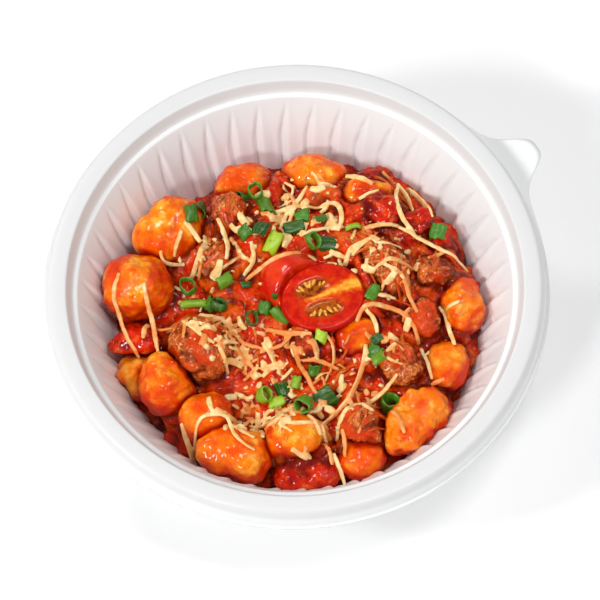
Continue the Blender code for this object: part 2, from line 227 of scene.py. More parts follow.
class Finish(Wiring):
    """A material in layers of colour, its patterns sized in millimetres."""

    def __init__(self, name, roughness, glow=None, **sockets):
        """Glow: how much light goes in, how deep for each colour, and that depth in millimetres."""
        self.material = bpy.data.materials.new(name)
        self.material.use_nodes = True
        super().__init__(self.material.node_tree)
        self.shader = self.tree.nodes["Principled BSDF"]
        if glow:
            weight, radius, scale = glow
            sockets.update(Subsurface_Weight=weight, Subsurface_Radius=radius, Subsurface_Scale=scale * MM)
        for socket, value in dict(sockets, Roughness=roughness).items():
            self.shader.inputs[socket.replace("_", " ")].default_value = value
        self.spot = self.add("ShaderNodeTexCoord").outputs["Object"]
        self.look = None

    def noise(self, size, detail=3.0, roughness=0.5, distortion=0.0, shift=0.0):
        spot = self.vector("ADD", self.spot, (shift * MM, 0.37 * shift * MM, 0.61 * shift * MM))
        feeds = {"Vector": spot, "Scale": 1000.0 / size, "Detail": detail,
                 "Roughness": roughness, "Distortion": distortion}
        return self.add("ShaderNodeTexNoise", feeds).outputs["Fac"]

    def clouds(self, size, low, high, most=1.0, least=0.0, **how):
        """Soft patches of a size: least where the noise is below low, most where it is above high."""
        return self.ramp(self.noise(size, **how), low, high, least, most)

    def attribute(self, name):
        return self.add("ShaderNodeAttribute", attribute_name=name).outputs["Fac"]

    def marked(self, name, low, high, most=1.0):
        """Up to most, where a stored number goes from low to high."""
        return self.ramp(self.attribute(name), low, high, 0.0, most)

    def mix(self, share, under, over):
        """Blend two colours, each a node or numbers on a scale to 255."""
        node = self.add("ShaderNodeMix", data_type="RGBA", clamp_factor=True)
        sockets = [socket for socket in node.inputs if socket.enabled]
        for socket, value in zip(sockets, (share, under, over)):
            self.feed(socket, srgb(*value) if isinstance(value, tuple) else value)
        return node

    def base(self, share, under, over):
        self.look = self.mix(share, under, over)

    def lay(self, share, over):
        """Lay a colour over the look so far."""
        self.look = self.mix(share, self.look, over)

    def done(self, grain=0.0, depth=0.0, **how):
        """The material, with bumps grain millimetres wide and depth millimetres high."""
        self.feed(self.shader.inputs["Base Color"], self.look)
        if grain:
            feeds = {"Height": self.noise(grain, **how), "Distance": depth * MM, "Strength": 1.0}
            self.feed(self.shader.inputs["Normal"], self.add("ShaderNodeBump", feeds))
        return self.material


class Shaping(Wiring):
    """A Geometry Nodes tree with named inputs, used as a modifier."""

    def __init__(self, name, **sizes):
        tree = bpy.data.node_groups.new(name, "GeometryNodeTree")
        tree.is_modifier = True
        super().__init__(tree)
        face = tree.interface
        face.new_socket("Geometry", in_out="INPUT", socket_type="NodeSocketGeometry")
        self.ids = {}
        for label, value in sizes.items():
            kind = "NodeSocketInt" if isinstance(value, int) else "NodeSocketFloat"
            socket = face.new_socket(label.replace("_", " ").title(), in_out="INPUT", socket_type=kind)
            socket.default_value = value
            self.ids[label] = socket.identifier
        face.new_socket("Geometry", in_out="OUTPUT", socket_type="NodeSocketGeometry")
        self.entry = self.add("NodeGroupInput")
        self.exit = self.add("NodeGroupOutput")
        self.start = self.entry.outputs[0]

    def size(self, label):
        return self.entry.outputs[label.replace("_", " ").title()]

    def position(self):
        return self.add("GeometryNodeInputPosition").outputs[0]

    def chance(self, seed):
        """A random number from 0 to 1 for each thing."""
        return self.add("FunctionNodeRandomValue", {"Seed": seed}, data_type="FLOAT").outputs[1]

    def chances(self, low, high):
        """Three random numbers for each thing."""
        return self.add("FunctionNodeRandomValue", {0: low, 1: high}, data_type="FLOAT_VECTOR").outputs[0]

    def rough(self, scale, reach, detail=2.0):
        """An offset of noise, at most half of reach each way."""
        feeds = {"Vector": self.position(), "Scale": scale, "Detail": detail}
        colour = self.add("ShaderNodeTexNoise", feeds).outputs[1]
        return self.vector("SCALE", self.vector("SUBTRACT", colour, (0.5, 0.5, 0.5)), reach)

    def moved(self, geometry, offset):
        return self.add("GeometryNodeSetPosition", {"Geometry": geometry, "Offset": offset}).outputs[0]

    def stored(self, geometry, name, value, domain="POINT"):
        node = self.add("GeometryNodeStoreNamedAttribute", None, data_type="FLOAT", domain=domain)
        for label, fed in (("Geometry", geometry), ("Name", name), ("Value", value)):
            socket = next(each for each in node.inputs if each.name == label and each.enabled)
            self.feed(socket, fed)
        return node.outputs[0]

    def finish(self, geometry, material):
        """End in plain realized faces that carry the finish."""
        real = self.add("GeometryNodeRealizeInstances", {0: geometry}).outputs[0]
        dressed = self.add("GeometryNodeSetMaterial", {"Geometry": real, "Material": material})
        self.feed(self.exit.inputs[0], dressed.outputs[0])

    def use_on(self, thing, **sizes):
        modifier = thing.modifiers.new(self.tree.name, "NODES")
        modifier.node_group = self.tree
        for label, value in sizes.items():
            modifier[self.ids[label]] = value


# --- finishes of the bowl and the main pieces ---


def plastic_finish():
    """White translucent sheet plastic, softly glossy; the rim above its ledge is painted greyer than the
    walls, which stay paler as painted light shining through the thin sheet.
    """
    finish = Finish("white_plastic", 0.3, (0.2, (1.0, 0.96, 0.93), 0.6), IOR=1.49, Specular_IOR_Level=0.25)
    finish.base(finish.clouds(55.0, 0.1, 0.9, detail=1.0), (236, 237, 237), (239, 240, 240))
    height = finish.parts(finish.spot)[2]
    # painted light: the rim above the ledge is made greyer, so the walls below look lit through the thin
    # sheet
    finish.lay(finish.ramp(height, LEDGE_Z, LEDGE_Z + 2.5 * MM), (223, 223, 223))
    return finish.done()


WET = dict(Coat_Weight=0.75, Coat_Roughness=0.055, Coat_IOR=1.4, Specular_IOR_Level=0.0)


def gnocchi_finish():
    """Boiled potato dough under a thin orange glaze of sauce, with bare spots; redder low down, partly from
    the sauce and partly as painted shade, and painted shade where it touches other pieces.
    """
    finish = Finish("glazed_gnocchi", 0.18, (0.22, (1.0, 0.4, 0.12), 1.0), IOR=1.4, **WET)
    sauced = finish.attribute("sauced")
    finish.base(finish.clouds(5.0, 0.36, 0.64), (230, 72, 1), (246, 116, 2))
    dough = finish.mix(finish.clouds(3.6, 0.42, 0.64, detail=4.0, roughness=0.6, shift=9.0),
                       (250, 134, 8), (254, 188, 66))
    patches = finish.maths("SUBTRACT", finish.noise(9.0, detail=4.0, roughness=0.55, shift=40.0),
                           finish.maths("MULTIPLY", sauced, 0.16))
    finish.lay(finish.ramp(patches, 0.36, 0.57, 0.0, 0.9), dough)
    runs = finish.noise(12.0, detail=4.0, roughness=0.55, distortion=0.5, shift=90.0)
    # the red drape is laid on thicker low down: partly sauce run down, partly painted shade on the lower
    # sides
    drape_and_low_shade = finish.maths("ADD", runs, finish.ramp(finish.attribute("rise"), 0.38, 0.90, 0.20, -0.07))
    drape_and_low_shade = finish.maths("MULTIPLY_ADD", sauced, 0.12, drape_and_low_shade)
    finish.lay(finish.ramp(drape_and_low_shade, 0.49, 0.66, 0.0, 0.92), (212, 44, 1))
    finish.lay(finish.clouds(0.8, 0.64, 0.72, 0.5, detail=2.0, shift=33.0), (214, 74, 4))
    # painted shade: dark red where the piece touches other pieces or the heap
    finish.lay(finish.marked("near", 0.15, 0.9, 0.95), (172, 22, 1))
    return finish.done(1.2, 0.35, detail=4.0, roughness=0.55)


def meat_finish():
    """Cooked mince, brown to orange, with oily red sauce drawn over part of it; painted shade in its hollows
    and where it touches other pieces.
    """
    finish = Finish("cooked_meat", 0.22, (0.1, (1.0, 0.3, 0.15), 1.0), IOR=1.4, **WET)
    finish.base(finish.marked("grain", 0.1, 0.9), (172, 66, 18), (216, 110, 44))
    finish.lay(finish.clouds(0.9, 0.50, 0.64, roughness=0.6, shift=20.0), (238, 160, 90))
    # painted shade in the hollows between lumps and grains
    finish.lay(finish.marked("hollow", 0.45, 0.9, 0.9), (96, 20, 3))
    finish.lay(finish.clouds(10.0, 0.46, 0.58, 0.85, detail=5.0, shift=11.0), (218, 60, 4))
    # painted shade where the piece touches other pieces or the heap
    finish.lay(finish.marked("near", 0.1, 0.9, 0.85), (84, 10, 1))
    return finish.done(0.9, 0.45, detail=4.0, roughness=0.6)


def sauce_finish():
    """Thick red tomato sauce: fine pulp, orange with oil in places, with painted shade darkening its hollows
    and where pieces lie in it.
    """
    finish = Finish("meat_sauce", 0.16, (0.12, (1.0, 0.25, 0.1), 1.0), IOR=1.38, **WET)
    finish.base(finish.clouds(4.0, 0.38, 0.62, detail=4.0), (200, 30, 2), (220, 60, 4))
    finish.lay(finish.clouds(10.0, 0.50, 0.62, 0.85, detail=4.0, shift=70.0), (226, 92, 14))
    finish.lay(finish.clouds(1.3, 0.60, 0.67, 0.7, shift=5.0), (228, 124, 52))
    finish.lay(finish.clouds(5.0, 0.50, 0.66, 0.8, detail=4.0, shift=55.0), (136, 18, 2))
    # painted shade in the hollows of its relief
    finish.lay(finish.marked("hollow", 0.55, 0.95, 0.9), (80, 8, 1))
    # painted shade where pieces lie in it
    finish.lay(finish.marked("near", 0.05, 0.8, 0.8), (84, 8, 1))
    return finish.done(1.2, 0.35, roughness=0.55)


def tomato_finish():
    """Stewed tomato: wet, red, blotched with orange where the flesh shows; painted shade in its hollows and
    where it touches other pieces.
    """
    finish = Finish("stewed_tomato", 0.14, (0.25, (1.0, 0.2, 0.08), 1.6), IOR=1.4, **WET)
    finish.base(finish.clouds(3.6, 0.35, 0.65, detail=4.0), (188, 14, 1), (218, 46, 4))
    finish.lay(finish.clouds(3.4, 0.54, 0.64, detail=5.0, roughness=0.6, shift=30.0), (228, 92, 30))
    # painted shade in the hollows between lumps and grains
    finish.lay(finish.marked("hollow", 0.5, 0.95, 0.85), (116, 8, 1))
    # painted shade where the piece touches other pieces or the heap
    finish.lay(finish.marked("near", 0.1, 0.9, 0.85), (90, 6, 1))
    return finish.done(1.2, 0.5, detail=4.0)


# --- the bowl ---


def arc(centre, radius, start, end, steps):
    """Points of an arc in the profile's plane after its first, angles in degrees from outwards."""
    points = []
    for step in range(1, steps + 1):
        angle = math.radians(start + (end - start) * step / steps)
        points.append((centre[0] + radius * math.cos(angle), centre[1] + radius * math.sin(angle)))
    return points


def rounded(corners, radii, steps=5):
    """A profile through corners, each rounded off with a smooth curve of about its radius."""
    points = [corners[0]]
    for before, corner, after, radius in zip(corners, corners[1:], corners[2:], radii):
        here = Vector(corner)
        back = Vector(before) - here
        ahead = Vector(after) - here
        cut = min(radius, 0.45 * back.length, 0.45 * ahead.length)
        first = here + back.normalized() * cut
        last = here + ahead.normalized() * cut
        for step in range(steps + 1):
            share = step / steps
            points.append(tuple(first.lerp(here, share).lerp(here.lerp(last, share), share)))
    points.append(corners[-1])
    return points


def wall_radius(height):
    """The wall leans in evenly and flares a little more towards its ledge."""
    flare = max(0.0, 1 - (LEDGE_Z - height) / FLARE_HEIGHT)
    return WALL_START - WALL_LEAN * (LEDGE_Z - height) + (LEDGE_RADIUS - WALL_START) * flare ** 1.5


def bowl_profile(lip_drop=7.85 * MM, corner=8.0 * MM, wall_steps=24, ring=7.0 * MM, rise=1.2 * MM):
    """Inner and upper side of the shell, from the lip over the crest to the raised middle."""
    lip_z = CREST_Z - lip_drop
    turn = math.pi / 2 - math.atan(WALL_LEAN)
    corner_top = SHELL + corner * (1 - math.cos(turn))
    edge = wall_radius(corner_top) - corner * math.sin(turn)
    corners = [
        (RIM_RADIUS, lip_z),
        (RIM_RADIUS - 0.9 * MM, lip_z),
        (RIM_RADIUS - 1.6 * MM, CREST_Z - 3.0 * MM),
        (RIM_RADIUS - 2.4 * MM, CREST_Z - 0.2 * MM),
        (RIM_RADIUS - 5.4 * MM, CREST_Z),
        (CREST_RADIUS, CREST_Z),
        (CREST_RADIUS - STEP_LEAN, CREST_Z - STEP_DEPTH),
        (LEDGE_RADIUS, LEDGE_Z),
        (wall_radius(RIB_TOP_Z), RIB_TOP_Z),
    ]
    points = rounded(corners, [radius * MM for radius in (0.5, 1.0, 1.4, 0.5, 0.7, 0.35, 0.5)])
    for step in range(1, wall_steps + 1):
        height = RIB_TOP_Z + (corner_top - RIB_TOP_Z) * step / wall_steps
        points.append((wall_radius(height), height))
    points.extend(arc((edge, SHELL + corner), corner, math.degrees(turn) - 90, -90, steps=7))
    points.append((edge - ring, SHELL))
    points.append((edge - ring - rise, SHELL + rise))
    points.append((0.0, SHELL + rise))
    return points


def turned(name, points, steps):
    """Turn a profile about Z into a closed-pole surface."""
    profile = bpy.data.meshes.new(name)
    edges = [(index, index + 1) for index in range(len(points) - 1)]
    profile.from_pydata([(radius, 0.0, height) for radius, height in points], edges, [])
    thing = new_object(name, profile)
    modify(thing, "SCREW", steps=steps, render_steps=steps, use_merge_vertices=True, merge_threshold=WELD)
    return settled(thing)


def rib_offset(wire):
    """How far outwards a pleat takes a point: a sharp step on one side, then a slant and a low swell."""
    spot = wire.position()
    x, y, z = wire.parts(spot)
    pitches = wire.maths("DIVIDE", wire.size("rib_count"), 2 * math.pi)
    turn = wire.maths("MULTIPLY", wire.maths("ARCTAN2", y, x), pitches)
    phase = wire.maths("SUBTRACT", wire.maths("FRACT", wire.maths("ADD", turn, 0.5)), 0.5)
    below = wire.maths("DIVIDE", wire.maths("SUBTRACT", wire.size("top"), z), wire.size("run_in"))
    below = wire.maths("MINIMUM", wire.maths("MAXIMUM", below, 0.0001), 1.0)
    width = wire.maths("MULTIPLY", wire.maths("POWER", below, 0.7), RIB_SHARE)
    across = wire.maths("DIVIDE", phase, width)
    steep = wire.maths("DIVIDE", wire.maths("SUBTRACT", 0.5, across), 0.5 - RIB_APEX)
    slope = (1 + RIB_SWELL) / (RIB_APEX - RIB_CREST)
    face = wire.maths("MULTIPLY_ADD", wire.maths("SUBTRACT", across, RIB_APEX), slope, 1.0)
    back = wire.ramp(across, -0.5, RIB_CREST, 0.0, -RIB_SWELL)
    side = wire.maths("MAXIMUM", wire.maths("MINIMUM", face, steep), back)
    side = wire.maths("MULTIPLY", side, wire.maths("LESS_THAN", wire.maths("ABSOLUTE", across), 0.5))
    reach = wire.maths("MULTIPLY", wire.maths("POWER", below, 0.5), wire.size("depth"))
    fade = wire.ramp(z, 2 * MM, 9 * MM)
    flat = wire.vector("MULTIPLY", spot, (1.0, 1.0, 0.0))
    inside = wire.maths("LESS_THAN", wire.vector("LENGTH", flat), LEDGE_RADIUS)
    reach = wire.maths("MULTIPLY", wire.maths("MULTIPLY", reach, side), wire.maths("MULTIPLY", fade, inside))
    return wire.vector("SCALE", wire.vector("NORMALIZE", flat), reach)


def tab_reach(angle):
    across = abs(angle - TAB_ANGLE) / TAB_BREADTH
    return TAB_LENGTH / (1 + across ** TAB_ROUNDNESS)


def pull_tab(build, rows=7, least=0.12 * MM):
    """Draw the lip's edge out into the tab."""
    front = []
    for edge in build.edges:
        middle = (edge.verts[0].co + edge.verts[1].co) / 2
        outer = edge.is_boundary and middle.xy.length > LEDGE_RADIUS
        if outer and tab_reach(math.atan2(middle.y, middle.x)) > least:
            front.append(edge)
    for row in range(1, rows + 1):
        grown = bmesh.ops.extrude_edge_only(build, edges=front)["geom"]
        fresh = {item for item in grown if isinstance(item, bmesh.types.BMVert)}
        for vert in fresh:
            angle = math.atan2(vert.co.y, vert.co.x)
            radius = RIM_RADIUS + tab_reach(angle) * row / rows
            vert.co.x = radius * math.cos(angle)
            vert.co.y = radius * math.sin(angle)
        front = [item for item in grown if isinstance(item, bmesh.types.BMEdge)]
        front = [edge for edge in front if fresh.issuperset(edge.verts)]


def make_bowl(lowest=0.02 * MM):
    """Turned shell with its tab, ribs and thickness, nowhere below the floor."""
    material = plastic_finish()
    bowl = turned("thermoformed_bowl", bowl_profile(), RIB_STEPS * RIB_COUNT)
    build = bmesh.new()
    build.from_mesh(bowl.data)
    bmesh.ops.remove_doubles(build, verts=build.verts, dist=WELD)
    pull_tab(build)
    bmesh.ops.recalc_face_normals(build, faces=build.faces)
    highest = max(build.faces, key=lambda face: face.calc_center_median().z)
    if highest.normal.z < 0:
        bmesh.ops.reverse_faces(build, faces=build.faces)
    build.to_mesh(bowl.data)
    build.free()
    wire = Shaping("Ribbed Wall", **RIB_SIZES)
    wire.finish(wire.moved(wire.start, rib_offset(wire)), material)
    wire.use_on(bowl)
    settled(bowl)
    modify(bowl, "SOLIDIFY", thickness=SHELL, offset=-1.0, use_even_offset=True)
    settled(bowl)
    for vert in bowl.data.vertices:
        vert.co.z = max(vert.co.z, lowest)
    return place(bowl, "bowl", "bowl")


# --- the food's pieces ---


def relief(name, material):
    """Swell a smooth piece and give it lumps and grains, storing how deep each point lies in the hollows
    between them, for painted shade.
    """
    wire = Shaping(name, swell=0.6 * MM, lump=0.8 * MM, lump_size=5.0 * MM,
                   grain=0.2 * MM, grain_size=1.3 * MM, seed=0.0)
    spot = wire.position()
    feeds = {"Vector": spot, "W": wire.size("seed"), "Detail": 2.0,
             "Scale": wire.maths("DIVIDE", 1.0, wire.size("lump_size"))}
    lumps = wire.add("ShaderNodeTexNoise", feeds, noise_dimensions="4D").outputs[0]
    lumps = wire.ramp(lumps, 0.28, 0.72, -1.0, 1.0)
    twist = wire.add("ShaderNodeTexNoise", {"Vector": spot, "Scale": 700.0}).outputs[1]
    twist = wire.vector("SCALE", twist, 0.8 * MM)
    feeds = {"Vector": wire.vector("ADD", spot, twist), "W": wire.size("seed"),
             "Scale": wire.maths("DIVIDE", 1.0, wire.size("grain_size")), "Smoothness": 0.35}
    cells = wire.add("ShaderNodeTexVoronoi", feeds, voronoi_dimensions="4D", feature="SMOOTH_F1")
    grains = wire.ramp(cells.outputs["Distance"], 0.1, 0.85, 1.0, -1.0)
    height = wire.maths("MULTIPLY", lumps, wire.size("lump"))
    height = wire.maths("MULTIPLY_ADD", grains, wire.size("grain"), height)
    # how deep each point lies between lumps and grains, darkened by the finishes as painted shade
    deep = wire.maths("ADD", lumps, wire.maths("MULTIPLY", grains, 0.8))
    mesh = wire.stored(wire.start, "hollow", wire.maths("MULTIPLY_ADD", deep, -0.3, 0.5))
    mesh = wire.stored(mesh, "grain", wire.parts(cells.outputs["Color"])[0])
    normal = wire.add("GeometryNodeInputNormal").outputs["Normal"]
    offset = wire.vector("SCALE", normal, wire.maths("ADD", height, wire.size("swell")))
    wire.finish(wire.moved(mesh, offset), material)
    return wire


def plain_copy(node, name):
    """Closed copy of a frame node, welded."""
    build = bmesh.new()
    build.from_mesh(frame["nodes"][node].data)
    bmesh.ops.remove_doubles(build, verts=build.verts, dist=WELD)
    return built(name, build)


def evened(thing, voxel, smoothing):
    """Mesh a piece evenly and smooth its facets away."""
    modify(thing, "REMESH", mode="VOXEL", voxel_size=voxel)
    modify(thing, "SMOOTH", factor=0.5, iterations=smoothing)
    return settled(thing)


def thin_out(thing, most):
    """Leave a piece at most so many triangles, fewest where it is smooth."""
    triangles = sum(len(face.vertices) - 2 for face in thing.data.polygons)
    if triangles > most:
        modify(thing, "DECIMATE", ratio=most / triangles)
        settled(thing)


def middle_of(piece):
    return sum((vert.co for vert in piece.data.vertices), Vector()) / len(piece.data.vertices)


def remember_near(piece, neighbours, reach):
    """Store how near each point lies to a neighbouring piece: 1 in contact, 0 beyond reach."""
    tree = surface_of(neighbours)
    shares = []
    for vert in piece.data.vertices:
        gap = tree.find_nearest(vert.co, reach)[3]
        shares.append(1 - (reach if gap is None else gap) / reach)
    remember(piece, "near", shares)


KINDS = {  # swell, lumps and their size, grains and their size, all in millimetres
    "gnocchi": dict(swell=0.9, lump=0.8, lump_size=7.5, grain=0.17, grain_size=2.6),
    "meat": dict(swell=0.5, lump=1.1, lump_size=5.0, grain=0.36, grain_size=1.3),
    "tomato": dict(swell=0.6, lump=0.9, lump_size=5.0, grain=0.12, grain_size=2.5),
}
PIECE_LOOKS = {  # how much red sauce covers a piece, 0 to 1, and how lumpy it is, 1 as its kind
    "gnocchi_back": (0.35, 1.0), "gnocchi_back_left": (0.5, 1.1), "gnocchi_back_right": (0.5, 1.0),
    "gnocchi_front": (0.1, 0.5), "gnocchi_front_left_long": (0.55, 1.1),
    "gnocchi_front_left_small": (0.7, 1.2), "gnocchi_front_right_long": (0.0, 1.5),
    "gnocchi_front_right_small": (0.95, 1.25), "gnocchi_left_large": (0.15, 1.2),
    "gnocchi_left_low": (0.1, 1.2), "gnocchi_left_round": (0.45, 1.2), "gnocchi_left_tall": (0.8, 1.2),
    "gnocchi_middle": (1.0, 1.2), "gnocchi_right": (0.1, 1.2), "gnocchi_right_low": (0.6, 1.35),
    "meatball": (0.5, 0.55), "tomato_front": (0.5, 0.55), "tomato_left_wedge": (0.5, 0.7),
}
PLAIN_LOOKS = (0.5, 1.0)    # of the pieces that aren't named above
PRESSED = {  # how much of a piece's height is left
    "gnocchi_front": 0.84, "tomato_front": 0.66, "tomato_left_wedge": 0.8, "gnocchi_front_right_small": 0.86,
}
TAPERS = {"tomato_left_wedge": (200.0, 0.6)}  # heading of a piece's thin end, and how thin it gets
RUGGED = 1.5        # pieces as lumpy as this have smaller lumps
SLEEK = 0.6         # pieces no lumpier than this have broader grains


def taper(piece, heading, amount):
    """Draw a piece thin towards one side."""
    ahead = flat_way(math.radians(heading))
    middle = middle_of(piece)
    reach = max((vert.co - middle).dot(ahead) for vert in piece.data.vertices)
    for vert in piece.data.vertices:
        out = vert.co - middle
        along = out.dot(ahead)
        keep = 1 - amount * smooth_step(along, -reach, reach)
        vert.co = middle + ahead * along + (out - ahead * along) * keep


def press(piece, keep):
    """Press a piece flat onto its underside, so that it spreads a little."""
    middle = middle_of(piece)
    low = min(vert.co.z for vert in piece.data.vertices)
    spread = keep ** -0.4
    for vert in piece.data.vertices:
        vert.co.z = low + (vert.co.z - low) * keep
        vert.co.x = middle.x + (vert.co.x - middle.x) * spread
        vert.co.y = middle.y + (vert.co.y - middle.y) * spread


def make_pieces():
    finishes = {"gnocchi": gnocchi_finish(), "meat": meat_finish(), "tomato": tomato_finish()}
    shapers = {slot: relief(slot.title() + " Relief", finishes[slot]) for slot in finishes}
    made = []
    for index, (node, slot) in enumerate(sorted(SLOTS.items())):
        if slot not in KINDS or node.startswith("cherry"):
            continue
        piece = plain_copy(node, node + "_fine")
        modify(piece, "SUBSURF", levels=2, render_levels=2)
        evened(piece, voxel=0.6 * MM, smoothing=6)
        if node in TAPERS:
            taper(piece, *TAPERS[node])
        if node in PRESSED:
            press(piece, PRESSED[node])
        sauced, lumpy = PIECE_LOOKS.get(node, PLAIN_LOOKS)
        sizes = {label: value * MM for label, value in KINDS[slot].items()}
        sizes["lump"] *= lumpy
        sizes["grain"] *= lumpy
        sizes["lump_size"] *= 0.8 if lumpy >= RUGGED else 1.0
        sizes["grain_size"] *= 2.0 if lumpy <= SLEEK else 1.0
        shapers[slot].use_on(piece, seed=float(index), **sizes)
        settled(piece)
        heights = [vert.co.z for vert in piece.data.vertices]
        low, high = min(heights), max(heights)
        remember(piece, "rise", [(height - low) / (high - low) for height in heights])
        remember(piece, "sauced", [sauced] * len(heights))
        made.append(place(piece, slot, node))
    return made


def remember_contacts(pieces, sauce, apart=30.0 * MM):
    """Store how near pieces lie to each other and to the heap, for painted shade where they meet."""
    middles = [middle_of(piece) for piece in pieces]
    for piece, middle in zip(pieces, middles):
        close = [other for other, spot in zip(pieces, middles)
                 if other is not piece and (spot - middle).length < apart]
        remember_near(piece, close + [sauce], reach=3.2 * MM)
    remember_near(sauce, pieces, reach=2.4 * MM)


def wall_contact(material):
    """Let the sauce's edge meet the wall and run a little way into its grooves."""
    wire = Shaping("Sauce At The Wall", **RIB_SIZES, grip=0.25 * MM)
    spot = wire.position()
    flat = wire.vector("MULTIPLY", spot, (1.0, 1.0, 0.0))
    height = wire.parts(spot)[2]
    down = wire.maths("SUBTRACT", LEDGE_Z, height)
    flare = wire.maths("SUBTRACT", 1.0, wire.maths("DIVIDE", down, FLARE_HEIGHT), clamp=True)
    flare = wire.maths("MULTIPLY", wire.maths("POWER", flare, 1.5), LEDGE_RADIUS - WALL_START)
    wall = wire.maths("MULTIPLY_ADD", down, -WALL_LEAN, wire.maths("ADD", flare, WALL_START))
    gap = wire.maths("SUBTRACT", wall, wire.vector("LENGTH", flat))
    share = wire.ramp(gap, 0.8 * MM, 3.5 * MM, 1.0, 0.0)
    share = wire.maths("MULTIPLY", share, wire.ramp(height, 8 * MM, 14 * MM))
    fill = wire.vector("SCALE", wire.vector("NORMALIZE", flat), wire.maths("ADD", gap, wire.size("grip")))
    groove = wire.vector("SCALE", rib_offset(wire), 0.7)
    offset = wire.vector("SCALE", wire.vector("ADD", fill, groove), share)
    wire.finish(wire.moved(wire.start, offset), material)
    return wire


CLIMB = 5.2 * MM            # how high the sauce is drawn up at a piece
CLIMB_REACH = 6.5 * MM      # and from how far away
EDGE_SHIFTS = [  # azimuth in degrees, and how much higher the sauce stands there by the wall
    (0, 4.0), (30, 3.0), (60, 0.5), (78, -2.5), (95, -5.0), (120, -6.0), (150, -6.0), (180, -3.0),
    (210, 0.5), (240, 4.5), (262, 7.5), (285, 7.5), (310, 5.5), (330, 4.5), (360, 4.0),
]


def edge_shift(azimuth):
    for (low, before), (high, after) in zip(EDGE_SHIFTS, EDGE_SHIFTS[1:]):
        if azimuth <= high:
            return (before + (after - before) * (azimuth - low) / (high - low)) * MM
    return 0.0


def make_sauce(pieces):
    """The sauce heap, drawn up a little where it meets the pieces that lie in it."""
    finish = sauce_finish()
    sauce = evened(plain_copy("sauce", "sauce_heap"), voxel=0.65 * MM, smoothing=14)
    remember_near(sauce, pieces, CLIMB_REACH)
    rises = []
    for vert, near in zip(sauce.data.vertices, sauce.data.attributes["near"].data):
        rises.append(CLIMB * near.value ** 1.5 * smooth_step(vert.normal.z, -0.2, 0.5))
    for vert, rise in zip(sauce.data.vertices, rises):
        share = smooth_step(vert.co.xy.length, 46 * MM, 58 * MM) * smooth_step(vert.co.z, 18 * MM, 28 * MM)
        shift = edge_shift(math.degrees(math.atan2(vert.co.y, vert.co.x)) % 360)
        vert.co.z += max(0.0, rise + min(0.0, shift * share)) + shift * share
    evened(sauce, voxel=0.67 * MM, smoothing=8)
    relief("Sauce Relief", finish).use_on(sauce, swell=0.9 * MM, lump=1.5 * MM, lump_size=8.0 * MM,
                                          grain=0.32 * MM, grain_size=3.8 * MM, seed=3.0)
    wall_contact(finish).use_on(sauce)
    return place(settled(sauce), "sauce", "sauce")


def keep_inside(things, bowl, free=36 * MM, slack=0.1 * MM, side_step=0.011, floor=SHELL + 1.35 * MM):
    """Draw whatever has swelled through the bowl's wall or foot back inside."""
    wall = surface_of([bowl])
    for thing in things:
        for vert in thing.data.vertices:
            vert.co.z = max(vert.co.z, floor)
            radius = vert.co.xy.length
            if radius < free:
                continue
            angle = math.atan2(vert.co.y, vert.co.x)
            centre = Vector((0.0, 0.0, vert.co.z))
            reach = radius
            for turn in (-side_step, 0.0, side_step):
                hit = wall.ray_cast(centre, flat_way(angle + turn))
                if hit[0]:
                    reach = min(reach, hit[3] + slack)
            vert.co.x *= reach / radius
            vert.co.y *= reach / radius
        thing.data.update()


# --- the halved cherry tomato ---

CUT_MIDDLE = Vector((9.2, 0.0, 47.4)) * MM
CUT_HALF_LENGTH = 14.2 * MM
CUT_HALF_WIDTH = 12.0 * MM
CUT_EDGE = 0.7 * MM         # how far the rounded edge of the cut lies below it
CUT_FRAME = Matrix.Translation(CUT_MIDDLE) @ (  # the cut's length, width and outwards, in the bowl
    Matrix.Rotation(math.radians(13.0), 4, "Z") @ Matrix.Rotation(math.radians(5.0), 4, "X"))
SKIN_MIDDLE = Vector((-0.2, 7.6, 42.2)) * MM
SKIN_HALF_SIZES = Vector((12.4, 10.6, 9.3)) * MM
SKIN_HEADING = math.radians(-35.0)
LOCULES = [  # middle, half length, half width in shares of the cut, and heading in degrees
    (-0.20, 0.33, 0.50, 0.31, 10.0),
    (-0.04, -0.36, 0.54, 0.30, -4.0),
]
CORE_FROM, CORE_LEVEL = -0.55, 0.07     # where the pale band along the cut begins, and its height


def cut_tomato_finish():
    """Cut flesh: red wall, thin dark skin, orange core and olive-orange gel."""
    finish = Finish("cut_cherry_tomato", 0.1, (0.3, (1.0, 0.25, 0.08), 1.6), IOR=1.4,
                    Specular_IOR_Level=0.35)
    finish.base(finish.clouds(2.6, 0.35, 0.65), (188, 10, 1), (214, 36, 3))
    inner = finish.mix(finish.clouds(1.8, 0.35, 0.65), (202, 44, 3), (222, 78, 6))
    finish.lay(finish.attribute("inner"), inner)
    veined = finish.maths("ADD", finish.attribute("core"), finish.clouds(1.4, 0.3, 0.7, 0.2, -0.2))
    finish.lay(finish.ramp(veined, 0.05, 0.7, 0.0, 0.75), (236, 122, 18))
    finish.lay(finish.ramp(veined, 0.6, 1.15), (250, 184, 62))
    gel = finish.mix(finish.clouds(1.6, 0.4, 0.6), (112, 40, 2), (172, 84, 8))
    finish.lay(finish.attribute("gel"), gel)
    finish.lay(finish.attribute("skin"), (184, 10, 3))
    return finish.done(1.4, 0.12)


def seed_finish():
    finish = Finish("tomato_seeds", 0.15, (0.3, (1.0, 0.7, 0.3), 0.8))
    finish.base(finish.clouds(0.8, 0.35, 0.65, detail=2.0), (214, 120, 18), (246, 190, 70))
    return finish.done()


def skin_finish():
    """Taut fresh tomato skin."""
    finish = Finish("tomato_skin", 0.12, (0.25, (1.0, 0.15, 0.06), 2.0), IOR=1.45, Specular_IOR_Level=0.5)
    finish.base(finish.clouds(6.0, 0.35, 0.65), (206, 22, 3), (228, 58, 8))
    return finish.done(2.4, 0.2, detail=2.0)


